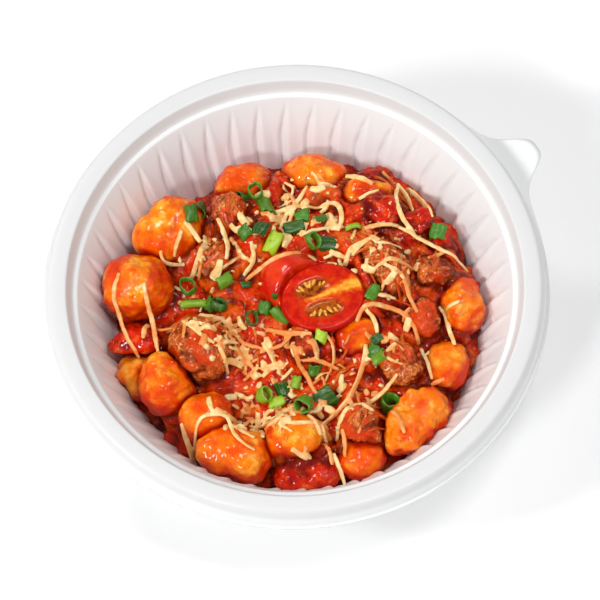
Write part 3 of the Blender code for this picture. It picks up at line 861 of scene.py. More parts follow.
def locule_depth(along, across):
    """How far a spot of the cut lies inside a seed chamber, from 0 at its edge to 1."""
    deepest = 0.0
    for middle, side, length, width, heading in LOCULES:
        turn = math.radians(heading)
        x, y = along - middle, across - side
        u = (x * math.cos(turn) + y * math.sin(turn)) / length
        v = (y * math.cos(turn) - x * math.sin(turn)) / width
        deepest = max(deepest, 1 - math.hypot(u, v))
    return deepest


def core_share(along, across):
    """How much a spot of the cut belongs to its pale core, which widens towards one end."""
    spread = 0.09 + 0.08 * smooth_step(along, 0.2, 0.95)
    band = 1 - smooth_step(abs(across - CORE_LEVEL - 0.12 * along), 0.3 * spread, 2.1 * spread)
    return band * smooth_step(along, CORE_FROM, CORE_FROM + 0.35)


def make_cut_tomato(rings=30, sides=96, under=14, dome=0.5 * MM, sunk=0.55 * MM, depth=11.0 * MM,
                    belly=1.02):
    """The half that lies cut side up: skin bowl below, a low dome with sunk seed chambers above."""
    build = bmesh.new()
    marks = {name: build.verts.layers.float.new(name) for name in ("core", "gel", "skin", "inner")}
    around = [2 * math.pi * side / sides for side in range(sides)]
    rows = []
    for ring in range(rings + 1):
        share = ring / rings
        row = []
        for angle in around:
            along, across = share * math.cos(angle), share * math.sin(angle)
            inside = smooth_step(locule_depth(along, across), 0.0, 0.40)
            edge = -CUT_EDGE * smooth_step(share, 0.93, 1.0)
            height = dome * (1 - share ** 2) + edge - sunk * inside
            vert = build.verts.new(Vector((along * CUT_HALF_LENGTH, across * CUT_HALF_WIDTH, height)))
            vert[marks["core"]] = core_share(along, across) * (1 - inside)
            vert[marks["inner"]] = 1 - smooth_step(share, 0.40, 0.74)
            vert[marks["gel"]] = inside
            vert[marks["skin"]] = smooth_step(share, 0.93, 0.975)
            row.append(vert)
        rows.append(row)
    for ring in range(1, under):
        lean = 0.5 * math.pi * ring / under
        row = []
        for angle in around:
            vert = build.verts.new(Vector((CUT_HALF_LENGTH * math.cos(angle) * math.cos(lean) * belly,
                                           CUT_HALF_WIDTH * math.sin(angle) * math.cos(lean) * belly,
                                           -CUT_EDGE - depth * math.sin(lean))))
            vert[marks["skin"]] = 1.0
            row.append(vert)
        rows.append(row)
    for inner, outer in zip(rows, rows[1:]):
        for side in range(sides):
            after = (side + 1) % sides
            build.faces.new((inner[side], outer[side], outer[after], inner[after]))
    bottom = build.verts.new(Vector((0.0, 0.0, -CUT_EDGE - depth)))
    bottom[marks["skin"]] = 1.0
    for side in range(sides):
        build.faces.new((rows[-1][side], bottom, rows[-1][(side + 1) % sides]))
    bmesh.ops.remove_doubles(build, verts=build.verts, dist=WELD)
    bmesh.ops.recalc_face_normals(build, faces=build.faces)
    if build.calc_volume(signed=True) < 0:
        bmesh.ops.reverse_faces(build, faces=build.faces)
    half = built("cut_tomato_half", build)
    half.data.transform(CUT_FRAME)
    return place(half, "tomato", "cherry_tomato_cut", material=cut_tomato_finish())


def make_seeds(count=7):
    """Drop-shaped seeds in the gel, points towards the core."""
    draw = random.Random(12)
    build = bmesh.new()
    for middle, side, length, width, _ in LOCULES:
        for index in range(count):
            share = (index + 0.5) / count * 2 - 1
            along = middle + share * length * 0.78 + draw.uniform(-0.02, 0.02)
            arch = 0.55 * (1 - share ** 2) + draw.uniform(-0.35, 0.15)
            across = side + arch * width * math.copysign(1.0, side)
            turn = math.atan2(side, 0.9 * share * length) + draw.uniform(-0.3, 0.3)
            size = Vector((1.45, 0.6, 0.45)) * draw.uniform(0.8, 1.15) * MM
            spin = Matrix.Rotation(turn, 3, "Z")
            base = Vector((along * CUT_HALF_LENGTH, across * CUT_HALF_WIDTH, -0.25 * MM))
            added = bmesh.ops.create_uvsphere(build, u_segments=10, v_segments=7, radius=1.0)["verts"]
            for vert in added:
                thin = 1 - 0.45 * max(0.0, vert.co.x)
                local = Vector((vert.co.x * size.x, vert.co.y * size.y * thin, vert.co.z * size.z * thin))
                vert.co = base + spin @ local
    seeds = built("tomato_seeds", build)
    seeds.data.transform(CUT_FRAME)
    place(seeds, "tomato", material=seed_finish())


def under_cut(spot):
    """Press a point of the other half down where the cut half lies on it."""
    local = CUT_FRAME.inverted() @ spot
    out = math.hypot(local.x / CUT_HALF_LENGTH, local.y / CUT_HALF_WIDTH)
    share = 1 - smooth_step(out, 1.0, 1.12)
    local.z = min(local.z, local.z * (1 - share) + share * -2.0 * MM)
    return CUT_FRAME @ local


def make_skin_tomato(flattened=0.35):
    """The half that lies on its cut, its taut skin up, dimpled at the stem, flattened below."""
    build = bmesh.new()
    bmesh.ops.create_uvsphere(build, u_segments=72, v_segments=44, radius=1.0)
    turn = Matrix.Rotation(SKIN_HEADING, 3, "Z")
    for vert in build.verts:
        x, y, z = vert.co
        dimple = 0.05 * math.exp(-((x - 0.9) ** 2 + y ** 2) / 0.05)
        swell = 1 + 0.02 * math.sin(3 * math.atan2(y, x) + 0.8) * math.hypot(x, y) - dimple
        local = Vector((x * SKIN_HALF_SIZES.x, y * SKIN_HALF_SIZES.y, z * SKIN_HALF_SIZES.z)) * swell
        if z < 0:
            local.z *= flattened
        vert.co = under_cut(SKIN_MIDDLE + turn @ local)
    return place(built("skin_tomato_half", build), "tomato", "cherry_tomato_skin", material=skin_finish())


def in_cherry(point):
    """True over the cherry tomato, which lies clear of the small toppings."""
    along = (point.x - CUT_MIDDLE.x) / CUT_HALF_LENGTH
    across = (point.y - CUT_MIDDLE.y) / CUT_HALF_WIDTH
    over_skin = (point.xy - SKIN_MIDDLE.xy).length / (10.0 * MM)
    return along ** 2 + across ** 2 < 1.1 or over_skin < 1.0


# --- loose toppings ---


class Top:
    """The surface of all the food, felt from above."""

    def __init__(self, pieces):
        self.tree = surface_of(pieces)

    def height(self, x, y):
        hit = self.tree.ray_cast(Vector((x, y, 0.1)), Vector((0, 0, -1)))
        return hit[0].z if hit[0] else None

    def slope(self, x, y, span=2.5 * MM):
        """The surface's own up direction over a few millimetres."""
        middle = self.height(x, y) or 0.0
        east, west = (self.height(x + side * span, y) or middle for side in (1, -1))
        north, south = (self.height(x, y + side * span) or middle for side in (1, -1))
        return Vector((west - east, south - north, 2 * span)).normalized()


def smooth_path(points, step):
    """A curve through given points (Catmull-Rom), cut into short even steps."""
    chain = [points[0] * 2 - points[1]] + points + [points[-1] * 2 - points[-2]]
    path = []
    for a, b, c, d in zip(chain, chain[1:], chain[2:], chain[3:]):
        count = max(2, round((c - b).length / step))
        for index in range(count):
            t = index / count
            path.append(0.5 * (2 * b + (c - a) * t + (2 * a - 5 * b + 4 * c - d) * t ** 2
                               + (3 * b - a - 3 * c + d) * t ** 3))
    path.append(points[-1])
    return path


def bent_path(start, heading, bend, length):
    """Three short steps from a start, each turned by bend from the one before."""
    points = [start]
    for _ in range(3):
        heading += bend
        points.append(points[-1] + flat_way(heading) * length / 3)
    return points


def draped(path, top, lift, stiffness):
    """Lay a flat path on the food; a stiff one bridges the hollows between its supports."""
    floor = [top.height(point.x, point.y) for point in path]
    known = [height for height in floor if height is not None]
    if not known:
        return []
    floor = [(height if height is not None else min(known)) + lift for height in floor]
    heights = list(floor)
    for _ in range(stiffness):
        for index in range(1, len(path) - 1):
            level = 0.5 * (heights[index - 1] + heights[index + 1])
            heights[index] = max(floor[index], level)
    return [Vector((point.x, point.y, height)) for point, height in zip(path, heights)]


def strand_shaping(material):
    """Square-cut shreds along curves."""
    wire = Shaping("Grated Shreds", width=1.0 * MM, thickness=0.56 * MM, roughness=0.40 * MM)
    toned = wire.stored(wire.start, "tone", wire.chance(3), "CURVE")
    outline = wire.add("GeometryNodeCurvePrimitiveQuadrilateral",
                       {"Width": wire.size("width"), "Height": wire.size("thickness")})
    outline = wire.add("GeometryNodeFilletCurve", {"Curve": outline, "Radius": 0.22 * MM, "Count": 2},
                       mode="POLY")
    tube = wire.add("GeometryNodeCurveToMesh", {"Curve": toned, "Profile Curve": outline, "Fill Caps": True,
                                                "Scale": wire.add("GeometryNodeInputRadius")})
    offset = wire.rough(480.0, wire.maths("MULTIPLY", wire.size("roughness"), 2.0))
    wire.finish(wire.moved(tube, offset), material)
    return wire


class Strands:
    """Strands that lie on the food, each first a curve."""

    def __init__(self, name, top, seed):
        self.top = top
        self.draw = random.Random(seed)
        self.curve = bpy.data.curves.new(name, "CURVE")
        self.curve.dimensions = "3D"

    def lay(self, points, pick, *widths, step, lift, stiffness):
        """Drape a strand through points; pick chooses its width once it lies."""
        lying = draped(smooth_path(points, step), self.top, lift, stiffness)
        if len(lying) < 3:
            return
        width = pick(*widths)
        twist = self.draw.uniform(-0.5, 0.5)
        spline = self.curve.splines.new("POLY")
        spline.points.add(len(lying) - 1)
        for index, spot in enumerate(lying):
            share = index / (len(lying) - 1)
            point = spline.points[index]
            point.co = (*spot, 1.0)
            point.radius = width * (0.82 + 0.25 * math.sin(math.pi * share))
            point.tilt = twist * (1 + share)

    def mesh(self, material):
        """All the strands cut square, as one mesh."""
        thing = new_object(self.curve.name, self.curve)
        strand_shaping(material).use_on(thing)
        mesh = shaped_mesh(thing)
        bpy.data.objects.remove(thing)
        return mesh


def cheese_finish():
    """Grated hard cheese, part melted, tinted by the sauce in places and towards the front."""
    finish = Finish("grated_cheese", 0.38, (0.3, (1.0, 0.6, 0.3), 1.0))
    finish.base(finish.clouds(2.5, 0.35, 0.65), (247, 192, 116), (255, 224, 162))
    tinted = finish.maths("ADD", finish.clouds(9.0, 0.35, 0.65, 0.25, -0.25, shift=15.0),
                          finish.attribute("tone"))
    back = finish.parts(finish.spot)[1]
    tinted = finish.maths("ADD", tinted, finish.ramp(back, -20 * MM, 20 * MM, 0.22, -0.18))
    finish.lay(finish.ramp(tinted, 0.45, 1.1), (238, 144, 66))
    return finish.done(0.9, 0.3)


def fibre_finish():
    """Pulled strands of cooked meat, tan to orange, oily."""
    finish = Finish("meat_fibres", 0.22, (0.15, (1.0, 0.4, 0.2), 1.0), IOR=1.4, **WET)
    finish.base(finish.marked("tone", 0.0, 0.6), (178, 66, 16), (214, 106, 38))
    finish.lay(finish.marked("tone", 0.6, 1.0), (238, 166, 96))
    finish.lay(finish.clouds(3.0, 0.46, 0.60, 0.8), (216, 62, 6))
    return finish.done(0.6, 0.2)


FIBRES = [  # middle, spread along and across the heading, heading in degrees and how many
    (31, 13, 10, 5.5, 118, 46), (36, 3, 6, 4, 105, 16), (24, 21, 5, 4, 160, 14), (46, 11, 4, 4, 70, 8),
    (20.5, -44, 6, 4.5, 60, 24), (-21, 33, 7, 4, 80, 18), (-27, 18, 6, 4, 60, 16), (34, -22, 6, 4, 110, 14),
    (38, 41, 7, 3, 125, 12), (14, -22, 6, 4, 40, 10), (-6, 31, 6, 4, 20, 10), (-18, -18, 5, 5, 60, 24),
]


def make_fibres(top):
    """Pulled meat lies over the larger lumps, strand beside strand."""
    strands = Strands("meat_fibres", top, 21)
    draw = strands.draw
    for x, y, along, across, heading, count in FIBRES:
        for _ in range(count):
            turn = math.radians(heading)
            out, side = draw.gauss(0, 0.5) * along, draw.gauss(0, 0.5) * across
            start = Vector((x + out * math.cos(turn) - side * math.sin(turn),
                            y + out * math.sin(turn) + side * math.cos(turn), 0.0)) * MM
            turn += draw.gauss(0, 0.28)
            bend = draw.uniform(-0.3, 0.3)
            points = bent_path(start, turn, bend, draw.uniform(3.0, 8.0) * MM)
            if not (in_cherry(points[0]) or in_cherry(points[3])):
                lift = draw.uniform(0.0, 0.4) * MM
                strands.lay(points, draw.uniform, 0.7, 1.3, step=0.7 * MM, lift=lift, stiffness=5)
    return place(new_object("meat_fibres", strands.mesh(fibre_finish())), "meat")


def spot_in_heap(x, y, spread, draw):
    """A random spot in a round heap, its middle and radius in millimetres."""
    away, angle = spread * MM * math.sqrt(draw.random()), draw.uniform(0, 2 * math.pi)
    return Vector((x * MM + away * math.cos(angle), y * MM + away * math.sin(angle), 0.0))


LONG_SHREDS = [  # each follows its points from end to end, in millimetres
    [(-58.5, 11.5), (-60.5, 5), (-59.5, 1), (-56.5, -9), (-53, -14.5)],
    [(-50.5, 7), (-49.5, 1.5), (-48, -4), (-46.5, -15.5)],
    [(-37, 27.5), (-38.5, 24), (-40, 20.5)],
    [(-44.5, 21), (-43, 18), (-37, 18.5)],
    [(-36, 30.5), (-33.5, 27.5), (-31, 24)],
    [(-29.5, 27), (-29.5, 22), (-32, 16.5), (-34.5, 13)],
    [(-25, 30.5), (-23.5, 26.5), (-22, 20.5), (-22.5, 15)],
    [(-16.5, 10.5), (-11, 12.5), (-3, 15), (2.5, 16.5)],
    [(-1, 43), (1, 37), (-1, 30.5)],
    [(-5.5, 34), (0, 36), (5.5, 43.5)],
    [(-7.5, 33.5), (1.5, 36), (9, 36.5)],
    [(9, 36.5), (13, 37.5), (16, 35), (16.5, 30), (15, 26)],
    [(12.5, 33.5), (14, 29.5), (15, 26)],
    [(-4.5, 27.5), (-2.5, 32), (-1, 36.5)],
    [(3, 25), (8.5, 26), (14, 27.5)],
    [(18.5, 48), (22, 46.5), (27.5, 43)],
    [(22.5, 38), (25.5, 39.5), (29.5, 41)],
    [(36, 45.5), (35, 37.5), (36.5, 30.5), (41, 24.5)],
    [(35.5, 46), (38.5, 41), (40.5, 33.5)],
    [(39, 46), (43.5, 40), (47, 31)],
    [(24, 25.5), (29, 27), (35.5, 27.5)],
    [(35, 27.5), (42.5, 23), (50.5, 18.5), (58, 15)],
    [(26, 20.5), (29, 18), (36, 18.5)],
    [(27, 9.5), (32, 11.5), (39.5, 11)],
    [(29.5, 10.5), (36, 6.5), (38, 0), (40.5, -6)],
    [(26.5, 1.5), (33.5, 0.5)],
    [(20, -8.5), (23, -4), (29, -3), (35.5, -5), (39, -10), (40.5, -15)],
    [(48, -0.5), (50, -5), (51, -10), (52.5, -16)],
    [(50.5, -3), (55, -2)],
    [(23, -16), (21.5, -23), (18, -30), (13.5, -36), (6.5, -42)],
    [(33, -28.5), (28, -32), (21, -36.5)],
    [(17.5, -36), (20.5, -38.5), (24.5, -41)],
    [(19, -36.5), (14.5, -41), (12, -46)],
    [(8.5, -12), (11.5, -15.5), (12, -21), (9, -26)],
    [(1.5, -21), (8, -21.5), (13.5, -23.5)],
    [(2.5, -23), (4, -27.5), (6.5, -32)],
    [(-10, -8), (-4, -11), (5, -13.5)],
    [(-10, -15.5), (-5, -14.5), (-0.5, -11)],
    [(-3.5, -15), (1, -19)],
    [(-5, -43), (1, -43.5), (6, -42.5)],
    [(2.5, -39), (5, -43), (6.5, -47)],
    [(-5.5, -41), (-7, -46)],
    [(8, -48), (9.5, -52), (10, -56)],
    [(10.5, -52), (12.5, -57), (14, -62)],
    [(14, -46), (14.5, -50.5), (14.5, -54.5)],
    [(30.5, -40), (33, -44), (34.5, -49)],
    [(-38, -6.5), (-33, -12), (-27.5, -16)],
    [(-38, -14), (-37, -8), (-35.5, -5.5)],
    [(-26, -17), (-24.5, -20), (-23.5, -22)],
    [(-36, -46), (-33.5, -41.5), (-29, -40), (-24.5, -40.5), (-22.5, -46), (-19.5, -50.5), (-15.5, -53)],
    [(-39.5, -40), (-37.5, -45), (-35.5, -49.5)],
    [(-23, -40), (-20, -44.5), (-15.5, -48)],
    [(-28, -38), (-24.5, -39), (-20, -39)],
    [(-20, -36), (-17.5, -31.5)],
    [(-15, -38), (-9.5, -38)],
    [(-22, -8.5), (-17.5, -13), (-12, -15)],
    [(-11.5, -12.5), (-9, -17), (-7, -21.5)],
    [(-12, -23.5), (-8.5, -20.5), (-5.5, -20)],
    [(-1, -17.5), (0.5, -22)],
    [(41, -16), (43, -21), (44.5, -27)],
    [(44, -29), (48.5, -28)],
    [(19.5, 15), (23, 19), (27.5, 21.5)],
    [(17, 13), (19.5, 17.5), (25, 20)],
    [(12, 18), (17, 15)],
    [(-19, 22.5), (-17.5, 18), (-14.5, 16.5)],
    [(-14, 22), (-13.5, 16.5), (-17, 12)],
    [(-24, 12.5), (-21, 15), (-18, 17.5)],
    [(-32, -2.5), (-27.5, -3)],
    [(-29.5, -5.5), (-25, -4.5), (-21, -8.5)],
    [(-43.5, -4), (-40, -2.5)],
    [(-48, -3.5), (-45.5, -6), (-41.5, -7.5)],
    [(-51.5, -9.5), (-50.5, -5), (-49, -3.5)],
    [(23.5, -5), (26, -8), (27, -12.5)],
    [(30.5, -13.5), (33.5, -15)],
    [(29.5, -20), (33, -17.5)],
]


CHEESE_HEAPS = [  # middle, spread and how many short shreds, in millimetres
    (-4, -30, 17, 52), (-27, -9, 7, 16), (-17, -14, 9, 13), (3, 36, 13, 28), (-9, 28, 9, 16),
    (30, 12, 11, 9), (24, -24, 11, 14), (-30, 15, 9, 6), (0, -42, 11, 9), (-21, -37, 9, 9),
    (12, 21, 9, 6), (36, -8, 9, 3),
]
SHRED_WIDTHS = (1.0, 1.2, 1.5, 1.8, 2.4)    # of the short ones, in shares of a strand's width
MOST_TRIANGLES = 190000                     # in all the cheese


def make_cheese(top, crumbs):
    """Shreds and crumbs, melted together where they touch."""
    strands = Strands("cheese_shreds", top, 5)
    draw = strands.draw
    for path in LONG_SHREDS:
        points = [Vector((x, y, 0.0)) * MM for x, y in path]
        strands.lay(points, draw.uniform, 1.35, 1.8, step=0.7 * MM, lift=0.35 * MM, stiffness=40)
    for x, y, spread, count in CHEESE_HEAPS:
        for _ in range(count):
            start = spot_in_heap(x, y, spread, draw)
            heading, bend = draw.uniform(0, 2 * math.pi), draw.uniform(-0.35, 0.35)
            points = bent_path(start, heading, bend, draw.uniform(2.2, 6.0) * MM)
            if not (in_cherry(points[0]) or in_cherry(points[2])):
                lift = draw.uniform(0.1, 0.7) * MM
                strands.lay(points, draw.choice, SHRED_WIDTHS, step=0.8 * MM, lift=lift, stiffness=14)
    material = cheese_finish()
    build = bmesh.new()
    for mesh in (strands.mesh(material), crumbs.data):
        build.from_mesh(mesh)
    raw = BVHTree.FromBMesh(build)
    mark = build.verts.layers.float["tone"]
    tones = [face.verts[0][mark] for face in build.faces]
    bpy.data.objects.remove(crumbs)
    cheese = evened(built("grated_cheese", build), voxel=0.27 * MM, smoothing=2)
    thin_out(cheese, MOST_TRIANGLES)
    cheese.data.materials.clear()
    near = [tones[raw.find_nearest(vert.co)[2]] for vert in cheese.data.vertices]
    remember(cheese, "tone", near)
    place(cheese, "cheese", material=material)


ONION = [  # kind, place, heading, length, width, tilt, all in millimetres or degrees, and tone
    ("flap", (-34.3, 33), 100, 6.5, 4.2, 10, 0.25), ("flap", (-30.6, 36.5), 60, 5.5, 4.2, -15, 0.1),
    ("flap", (-17, 40.5), 20, 5.0, 4.2, 10, 0.2), ("ring", (-9.8, 41.5), 15, 2.2, 6.5, 62, 0.45),
    ("tube", (-9.6, 35.3), 95, 8.5, 5.0, 5, 0.5), ("flap", (-15.7, 25.5), 30, 5.0, 4.4, 10, 0.3),
    ("flap", (-10.4, 25.6), 60, 5.4, 4.6, -10, 0.05), ("tube", (-7.2, 22.5), 62, 8.0, 4.4, 0, 0.95),
    ("ring", (-34, 9.5), 30, 2.6, 6.4, 58, 0.35), ("flap", (-23.5, 9.5), 25, 5.6, 3.8, 0, 0.6),
    ("tube", (-34, 4), 4, 9.0, 2.0, 0, 0.7), ("flap", (-28, 3), 40, 5.0, 3.4, 25, 0.3),
    ("ring", (-24.6, 2), 50, 3.0, 5.6, 50, 0.15), ("flap", (-16.7, 7.6), 10, 3.0, 2.0, 0, 0.1),
    ("ring", (-13.7, -4), 10, 3.0, 5.0, 55, 0.15), ("flap", (-11, -1.5), 80, 4.6, 3.4, 20, 0.3),
    ("flap", (-4.6, -4), 110, 7.5, 3.6, 20, 0.55), ("flap", (-6.2, 1.5), 80, 3.0, 2.0, 30, 0.2),
    ("flap", (3.6, 32), 5, 5.4, 4.8, 0, 0.4), ("tube", (1.1, 28), 5, 7.5, 4.0, 0, 0.12),
    ("flap", (9.2, 30), 35, 4.4, 2.8, 0, 0.25), ("ring", (6.9, 22), 20, 3.2, 5.4, 55, 0.5),
    ("flap", (11.6, 21), 0, 5.6, 5.2, 0, 0.08), ("flap", (20.4, 25), 15, 5.0, 2.0, 0, 0.75),
    ("flap", (49, 25), 75, 5.6, 4.8, 15, 0.35), ("flap", (25, 1.6), 62, 6.8, 3.4, 15, 0.5),
    ("tube", (7, -13), 80, 4.2, 4.0, 0, 0.98), ("flap", (5, -22), 85, 4.0, 4.0, 0, 0.3),
    ("flap", (-0.8, -26), 85, 4.4, 2.8, 0, 0.7), ("flap", (26.8, -15), 40, 3.8, 2.8, 0, 0.1),
    ("flap", (26, -19), 60, 5.0, 4.6, 20, 0.25), ("flap", (28, -22), 10, 5.4, 3.8, -10, 0.6),
    ("flap", (8.6, -32), 30, 7.4, 6.8, 10, 0.12), ("tube", (1.2, -36), 60, 6.6, 5.2, -25, 0.55),
    ("tube", (31.2, -33.5), 62, 6.0, 6.0, 40, 0.5), ("flap", (-5.6, -28), 100, 4.8, 4.0, 10, 0.1),
    ("ring", (-11.3, -30), 10, 3.6, 5.0, 50, 0.7), ("flap", (-7.6, -32.5), 20, 5.4, 3.2, 0, 0.85),
]


def onion_finish():
    """Fresh chopped spring onion, from dark leaf to pale stem, with fine veins along it."""
    finish = Finish("spring_onion", 0.32, (0.2, (0.4, 1.0, 0.2), 0.8))
    finish.base(finish.marked("tone", 0.0, 0.45), (24, 70, 16), (70, 130, 24))
    finish.lay(finish.marked("tone", 0.45, 1.0), (172, 206, 40))
    veins = finish.maths("SINE", finish.maths("MULTIPLY", finish.attribute("around"), 38.0))
    finish.lay(finish.ramp(veins, 0.2, 1.0, 0.0, 0.16), (148, 186, 74))
    finish.lay(finish.clouds(1.6, 0.58, 0.72, 0.4), (40, 78, 20))
    return finish.done(0.7, 0.1, detail=2.0)


def onion_piece(build, kind, heading, length, width, tilt, tone, middle, up, draw):
    """One chopped length: a closed ring or tube, or a split flap curling up at its sides."""
    tone_mark, around_mark = (build.verts.layers.float[name] for name in ("tone", "around"))
    closed = kind != "flap"
    sides = 18 if closed else 12
    rows = 5 if length > 3 * MM else 3
    sweep = 2 * math.pi if closed else math.radians(draw.uniform(190, 280))
    flatten = draw.uniform(0.65, 0.9) if closed else draw.uniform(0.5, 0.8)
    radius = width / 2 if closed else width / (2 * math.sin(min(sweep, math.pi) / 2))
    lean = Matrix.Rotation(math.radians(-tilt), 3, "Y")
    turn = Matrix.Rotation(math.radians(heading), 3, "Z")
    roll = Matrix.Rotation(0.0 if closed else draw.uniform(-0.25, 0.25), 3, "X")
    rest = Vector((0, 0, 1)).rotation_difference(up).to_matrix()
    grid = []
    bow = draw.uniform(-0.12, 0.18) * length
    for row in range(rows):
        share = row / (rows - 1)
        line = []
        for side in range(sides if closed else sides + 1):
            angle = sweep * side / sides - (sweep / 2 if not closed else 0.0)
            crimp = 1 + 0.07 * math.sin(3 * angle + 4 * share + tone * 20)
            local = Vector(((share - 0.5) * length + 0.25 * MM * math.sin(5 * angle + tone * 9),
                            radius * crimp * math.sin(angle),
                            radius * crimp * flatten * math.cos(angle)))
            local.z += bow * math.sin(math.pi * share)
            if not closed:
                local.z -= radius * flatten
            spot = middle + rest @ (turn @ (lean @ (roll @ local)))
            vert = build.verts.new(spot + noise.noise_vector(spot * 350.0) * 0.7 * MM)
            vert[tone_mark] = tone
            vert[around_mark] = side / sides
            line.append(vert)
        grid.append(line)
    for low, high in zip(grid, grid[1:]):
        for side in range(sides):
            after = (side + 1) % sides if closed else side + 1
            build.faces.new((low[side], low[after], high[after], high[side]))


def make_onion(top):
    draw = random.Random(8)
    noise.seed_set(8)
    build = bmesh.new()
    for name in ("tone", "around"):
        build.verts.layers.float.new(name)
    for kind, (x, y), heading, length, width, tilt, tone in ONION:
        spot = Vector((x, y, 0.0)) * MM
        up = top.slope(spot.x, spot.y)
        spot.z = top.height(spot.x, spot.y) or 0.0
        standing = abs(math.sin(math.radians(tilt))) * width * 0.25
        lift = {"flap": 1.9, "tube": 0.38 * width, "ring": 0.32 * width + standing}[kind]
        middle = spot + up * lift * MM
        onion_piece(build, kind, heading, length * MM, width * MM, tilt, tone, middle, up, draw)
    onion = built("spring_onion", build)
    onion.data.materials.append(onion_finish())
    modify(onion, "SOLIDIFY", thickness=0.7 * MM, offset=0.0)
    modify(onion, "SUBSURF", levels=1, render_levels=1)
    place(settled(onion), "spring_onion")


def spots_on(top, heaps, draw, sink, ground=None):
    """Points on the food, gathered in round heaps, clear of the cherry tomato.

    With a ground, only where nothing lies over it.
    """
    spots = []
    for x, y, spread, count in heaps:
        for _ in range(count):
            spot = spot_in_heap(x, y, spread, draw)
            height = top.height(spot.x, spot.y)
            if height is None or in_cherry(spot):
                continue
            if ground and height - (ground.height(spot.x, spot.y) or 0.0) > 0.5 * MM:
                continue
            spots.append(Vector((spot.x, spot.y, height - sink)))
    return spots


def scatter(name, material, spots, **sizes):
    """Crumbs on given points, each one a different lump."""
    wire = Shaping(name.title().replace("_", " "), smallest=1.0 * MM, largest=2.5 * MM,
                   lumpiness=0.5, lump_size=1.2 * MM, seed=1)
    stone = wire.add("GeometryNodeMeshIcoSphere", {"Radius": 0.5, "Subdivisions": 2})
    low, high, lump = (wire.size(label) for label in ("smallest", "largest", "lump_size"))
    share = wire.maths("POWER", wire.chance(wire.size("seed")), 2.0)
    big = wire.maths("MULTIPLY_ADD", share, wire.maths("SUBTRACT", high, low), low)
    stretch = wire.vector("SCALE", wire.chances((0.7, 0.6, 0.5), (1.6, 1.1, 0.8)), big)
    spin = wire.chances((0.0, 0.0, 0.0), (6.28, 6.28, 6.28))
    placed = wire.add("GeometryNodeInstanceOnPoints", {"Points": wire.start, "Instance": stone.outputs[0],
                                                       "Rotation": spin, "Scale": stretch})
    marked = wire.stored(placed.outputs[0], "tone", wire.chance(77), "INSTANCE")
    real = wire.add("GeometryNodeRealizeInstances", {0: marked}).outputs[0]
    reach = wire.maths("MULTIPLY", wire.size("lumpiness"), wire.maths("MULTIPLY", lump, 2.0))
    offset = wire.rough(wire.maths("DIVIDE", 1.0, lump), reach, 1.0)
    wire.finish(wire.moved(real, offset), material)
    mesh = bpy.data.meshes.new(name)
    mesh.from_pydata(spots, [], [])
    thing = new_object(name, mesh)
    wire.use_on(thing, **sizes)
    return settled(thing)


MINCE_HEAPS = [(0, 0, 52, 320), (0, 10, 34, 120)]
CRUMB_HEAPS = [
    (-29, -10, 9, 40), (-16, -14, 11, 30), (-4, -30, 17, 50), (3, 36, 14, 40), (-9, 28, 12, 26),
    (30, 12, 12, 24), (22, -20, 14, 28), (-30, 15, 10, 14), (0, -42, 12, 16), (-21, -37, 10, 16),
    (0, 0, 50, 50),
]


def crumb_finish():
    """Loose crumbs of cooked mince in oily sauce."""
    finish = Finish("mince_crumbs", 0.3, (0.12, (1.0, 0.3, 0.15), 1.0), IOR=1.4, **WET)
    finish.base(finish.marked("tone", 0.05, 0.5), (176, 40, 6), (206, 72, 14))
    finish.lay(finish.marked("tone", 0.75, 1.0), (222, 116, 46))
    finish.lay(finish.clouds(1.8, 0.5, 0.62, 0.7), (214, 50, 12))
    dry = finish.clouds(1.2, 0.35, 0.65, 0.4, 0.12, detail=2.0)
    finish.feed(finish.shader.inputs["Roughness"], dry)
    return finish.done(0.5, 0.2)


# --- floor, light and camera ---


def make_floor():
    build = bmesh.new()
    bmesh.ops.create_circle(build, cap_ends=True, segments=64, radius=5.0)
    floor = built("floor", build)
    finish = Finish("pale_floor", 0.6, Emission_Color=(1.0, 1.0, 1.0, 1.0), Emission_Strength=0.14)
    finish.base(finish.clouds(60.0, 0.3, 0.7, detail=2.0), (239, 239, 239), (240, 240, 240))
    floor.data.materials.append(finish.done())


LIGHTS = {  # azimuth and elevation in degrees, size and power of the soft square lights
    "back_left": (125.0, 50.0, 0.6, 14.5), "left": (200.0, 42.0, 0.4, 26.0),
    "front": (240.0, 44.0, 0.45, 26.0), "above": (330.0, 78.0, 0.6, 20.6),
    "right": (350.0, 60.0, 1.5, 8.5),
}


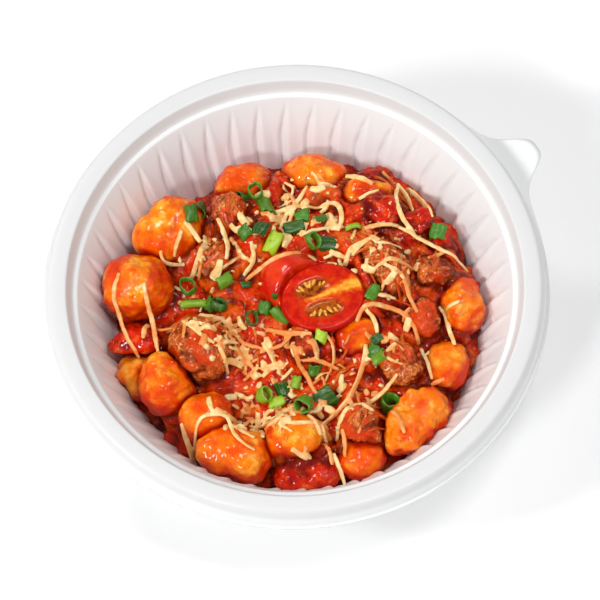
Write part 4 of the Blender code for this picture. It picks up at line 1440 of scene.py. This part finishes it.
def make_lights(distance=3.0):
    """Five soft square lights that face the bowl, and an even white sky."""
    for name, (azimuth, elevation, size, power) in LIGHTS.items():
        data = bpy.data.lights.new(name, "AREA")
        data.energy = power
        data.size = size
        light = new_object(name, data)
        turn, rise = math.radians(azimuth), math.radians(elevation)
        away = Vector((math.cos(turn) * math.cos(rise), math.sin(turn) * math.cos(rise), math.sin(rise)))
        light.location = away * distance
        light.rotation_euler = away.to_track_quat("Z", "Y").to_euler()
    world = bpy.data.worlds.new("studio")
    world.use_nodes = True
    sky = world.node_tree.nodes["Background"]
    sky.inputs["Color"].default_value = (1.0, 1.0, 1.0, 1.0)
    sky.inputs["Strength"].default_value = 0.36
    bpy.context.scene.world = world
    bpy.context.scene.view_settings.view_transform = "Standard"


def make_camera(elevation=65.0, roll=-2.26, distance=6.0, across=0.2, to_right=1.7, down=4.37):
    """A long lens that looks down on the bowl from the front, rolled a little to the left.

    It looks a few millimetres to the right of the middle and below it, as the picture shows them.
    """
    data = bpy.data.cameras.new("camera")
    data.lens = data.sensor_width * distance / across
    data.clip_end = 20.0
    camera = new_object("camera", data)
    rise, turn = math.radians(elevation), math.radians(roll)
    back = Vector((0.0, -math.cos(rise), math.sin(rise)))
    right = Vector((1.0, 0.0, 0.0))
    above = Vector((0.0, math.sin(rise), math.cos(rise)))
    rolled_right = right * math.cos(turn) + above * math.sin(turn)
    rolled_above = above * math.cos(turn) - right * math.sin(turn)
    target = Vector((0.0, 0.0, CREST_Z)) + rolled_right * to_right * MM - rolled_above * down * MM
    axes = Matrix((rolled_right, rolled_above, back)).transposed().to_4x4()
    camera.matrix_world = Matrix.Translation(target + back * distance) @ axes
    bpy.context.scene.camera = camera


bowl = make_bowl()
pieces = make_pieces()
sauce = make_sauce(pieces)
keep_inside(pieces + [sauce], bowl)
remember_contacts(pieces, sauce)
food = pieces + [make_cut_tomato(), make_skin_tomato(), sauce]
make_seeds()
crumb_spots = spots_on(Top(food), MINCE_HEAPS, random.Random(4), 0.3 * MM, Top([sauce]))
mince = scatter("mince_crumbs", crumb_finish(), crumb_spots, seed=4, smallest=1.0 * MM,
                largest=3.4 * MM, lumpiness=0.9)
place(mince, "meat")
fibres = make_fibres(Top(food + [mince]))
top = Top(food + [mince, fibres])
crumbs = scatter("cheese_crumbs", None, spots_on(top, CRUMB_HEAPS, random.Random(9), 0.0),
                 seed=9, smallest=0.9 * MM, largest=3.0 * MM, lumpiness=1.0, lump_size=1.3 * MM)
make_cheese(top, crumbs)
make_onion(top)
make_floor()
make_lights()
make_camera()
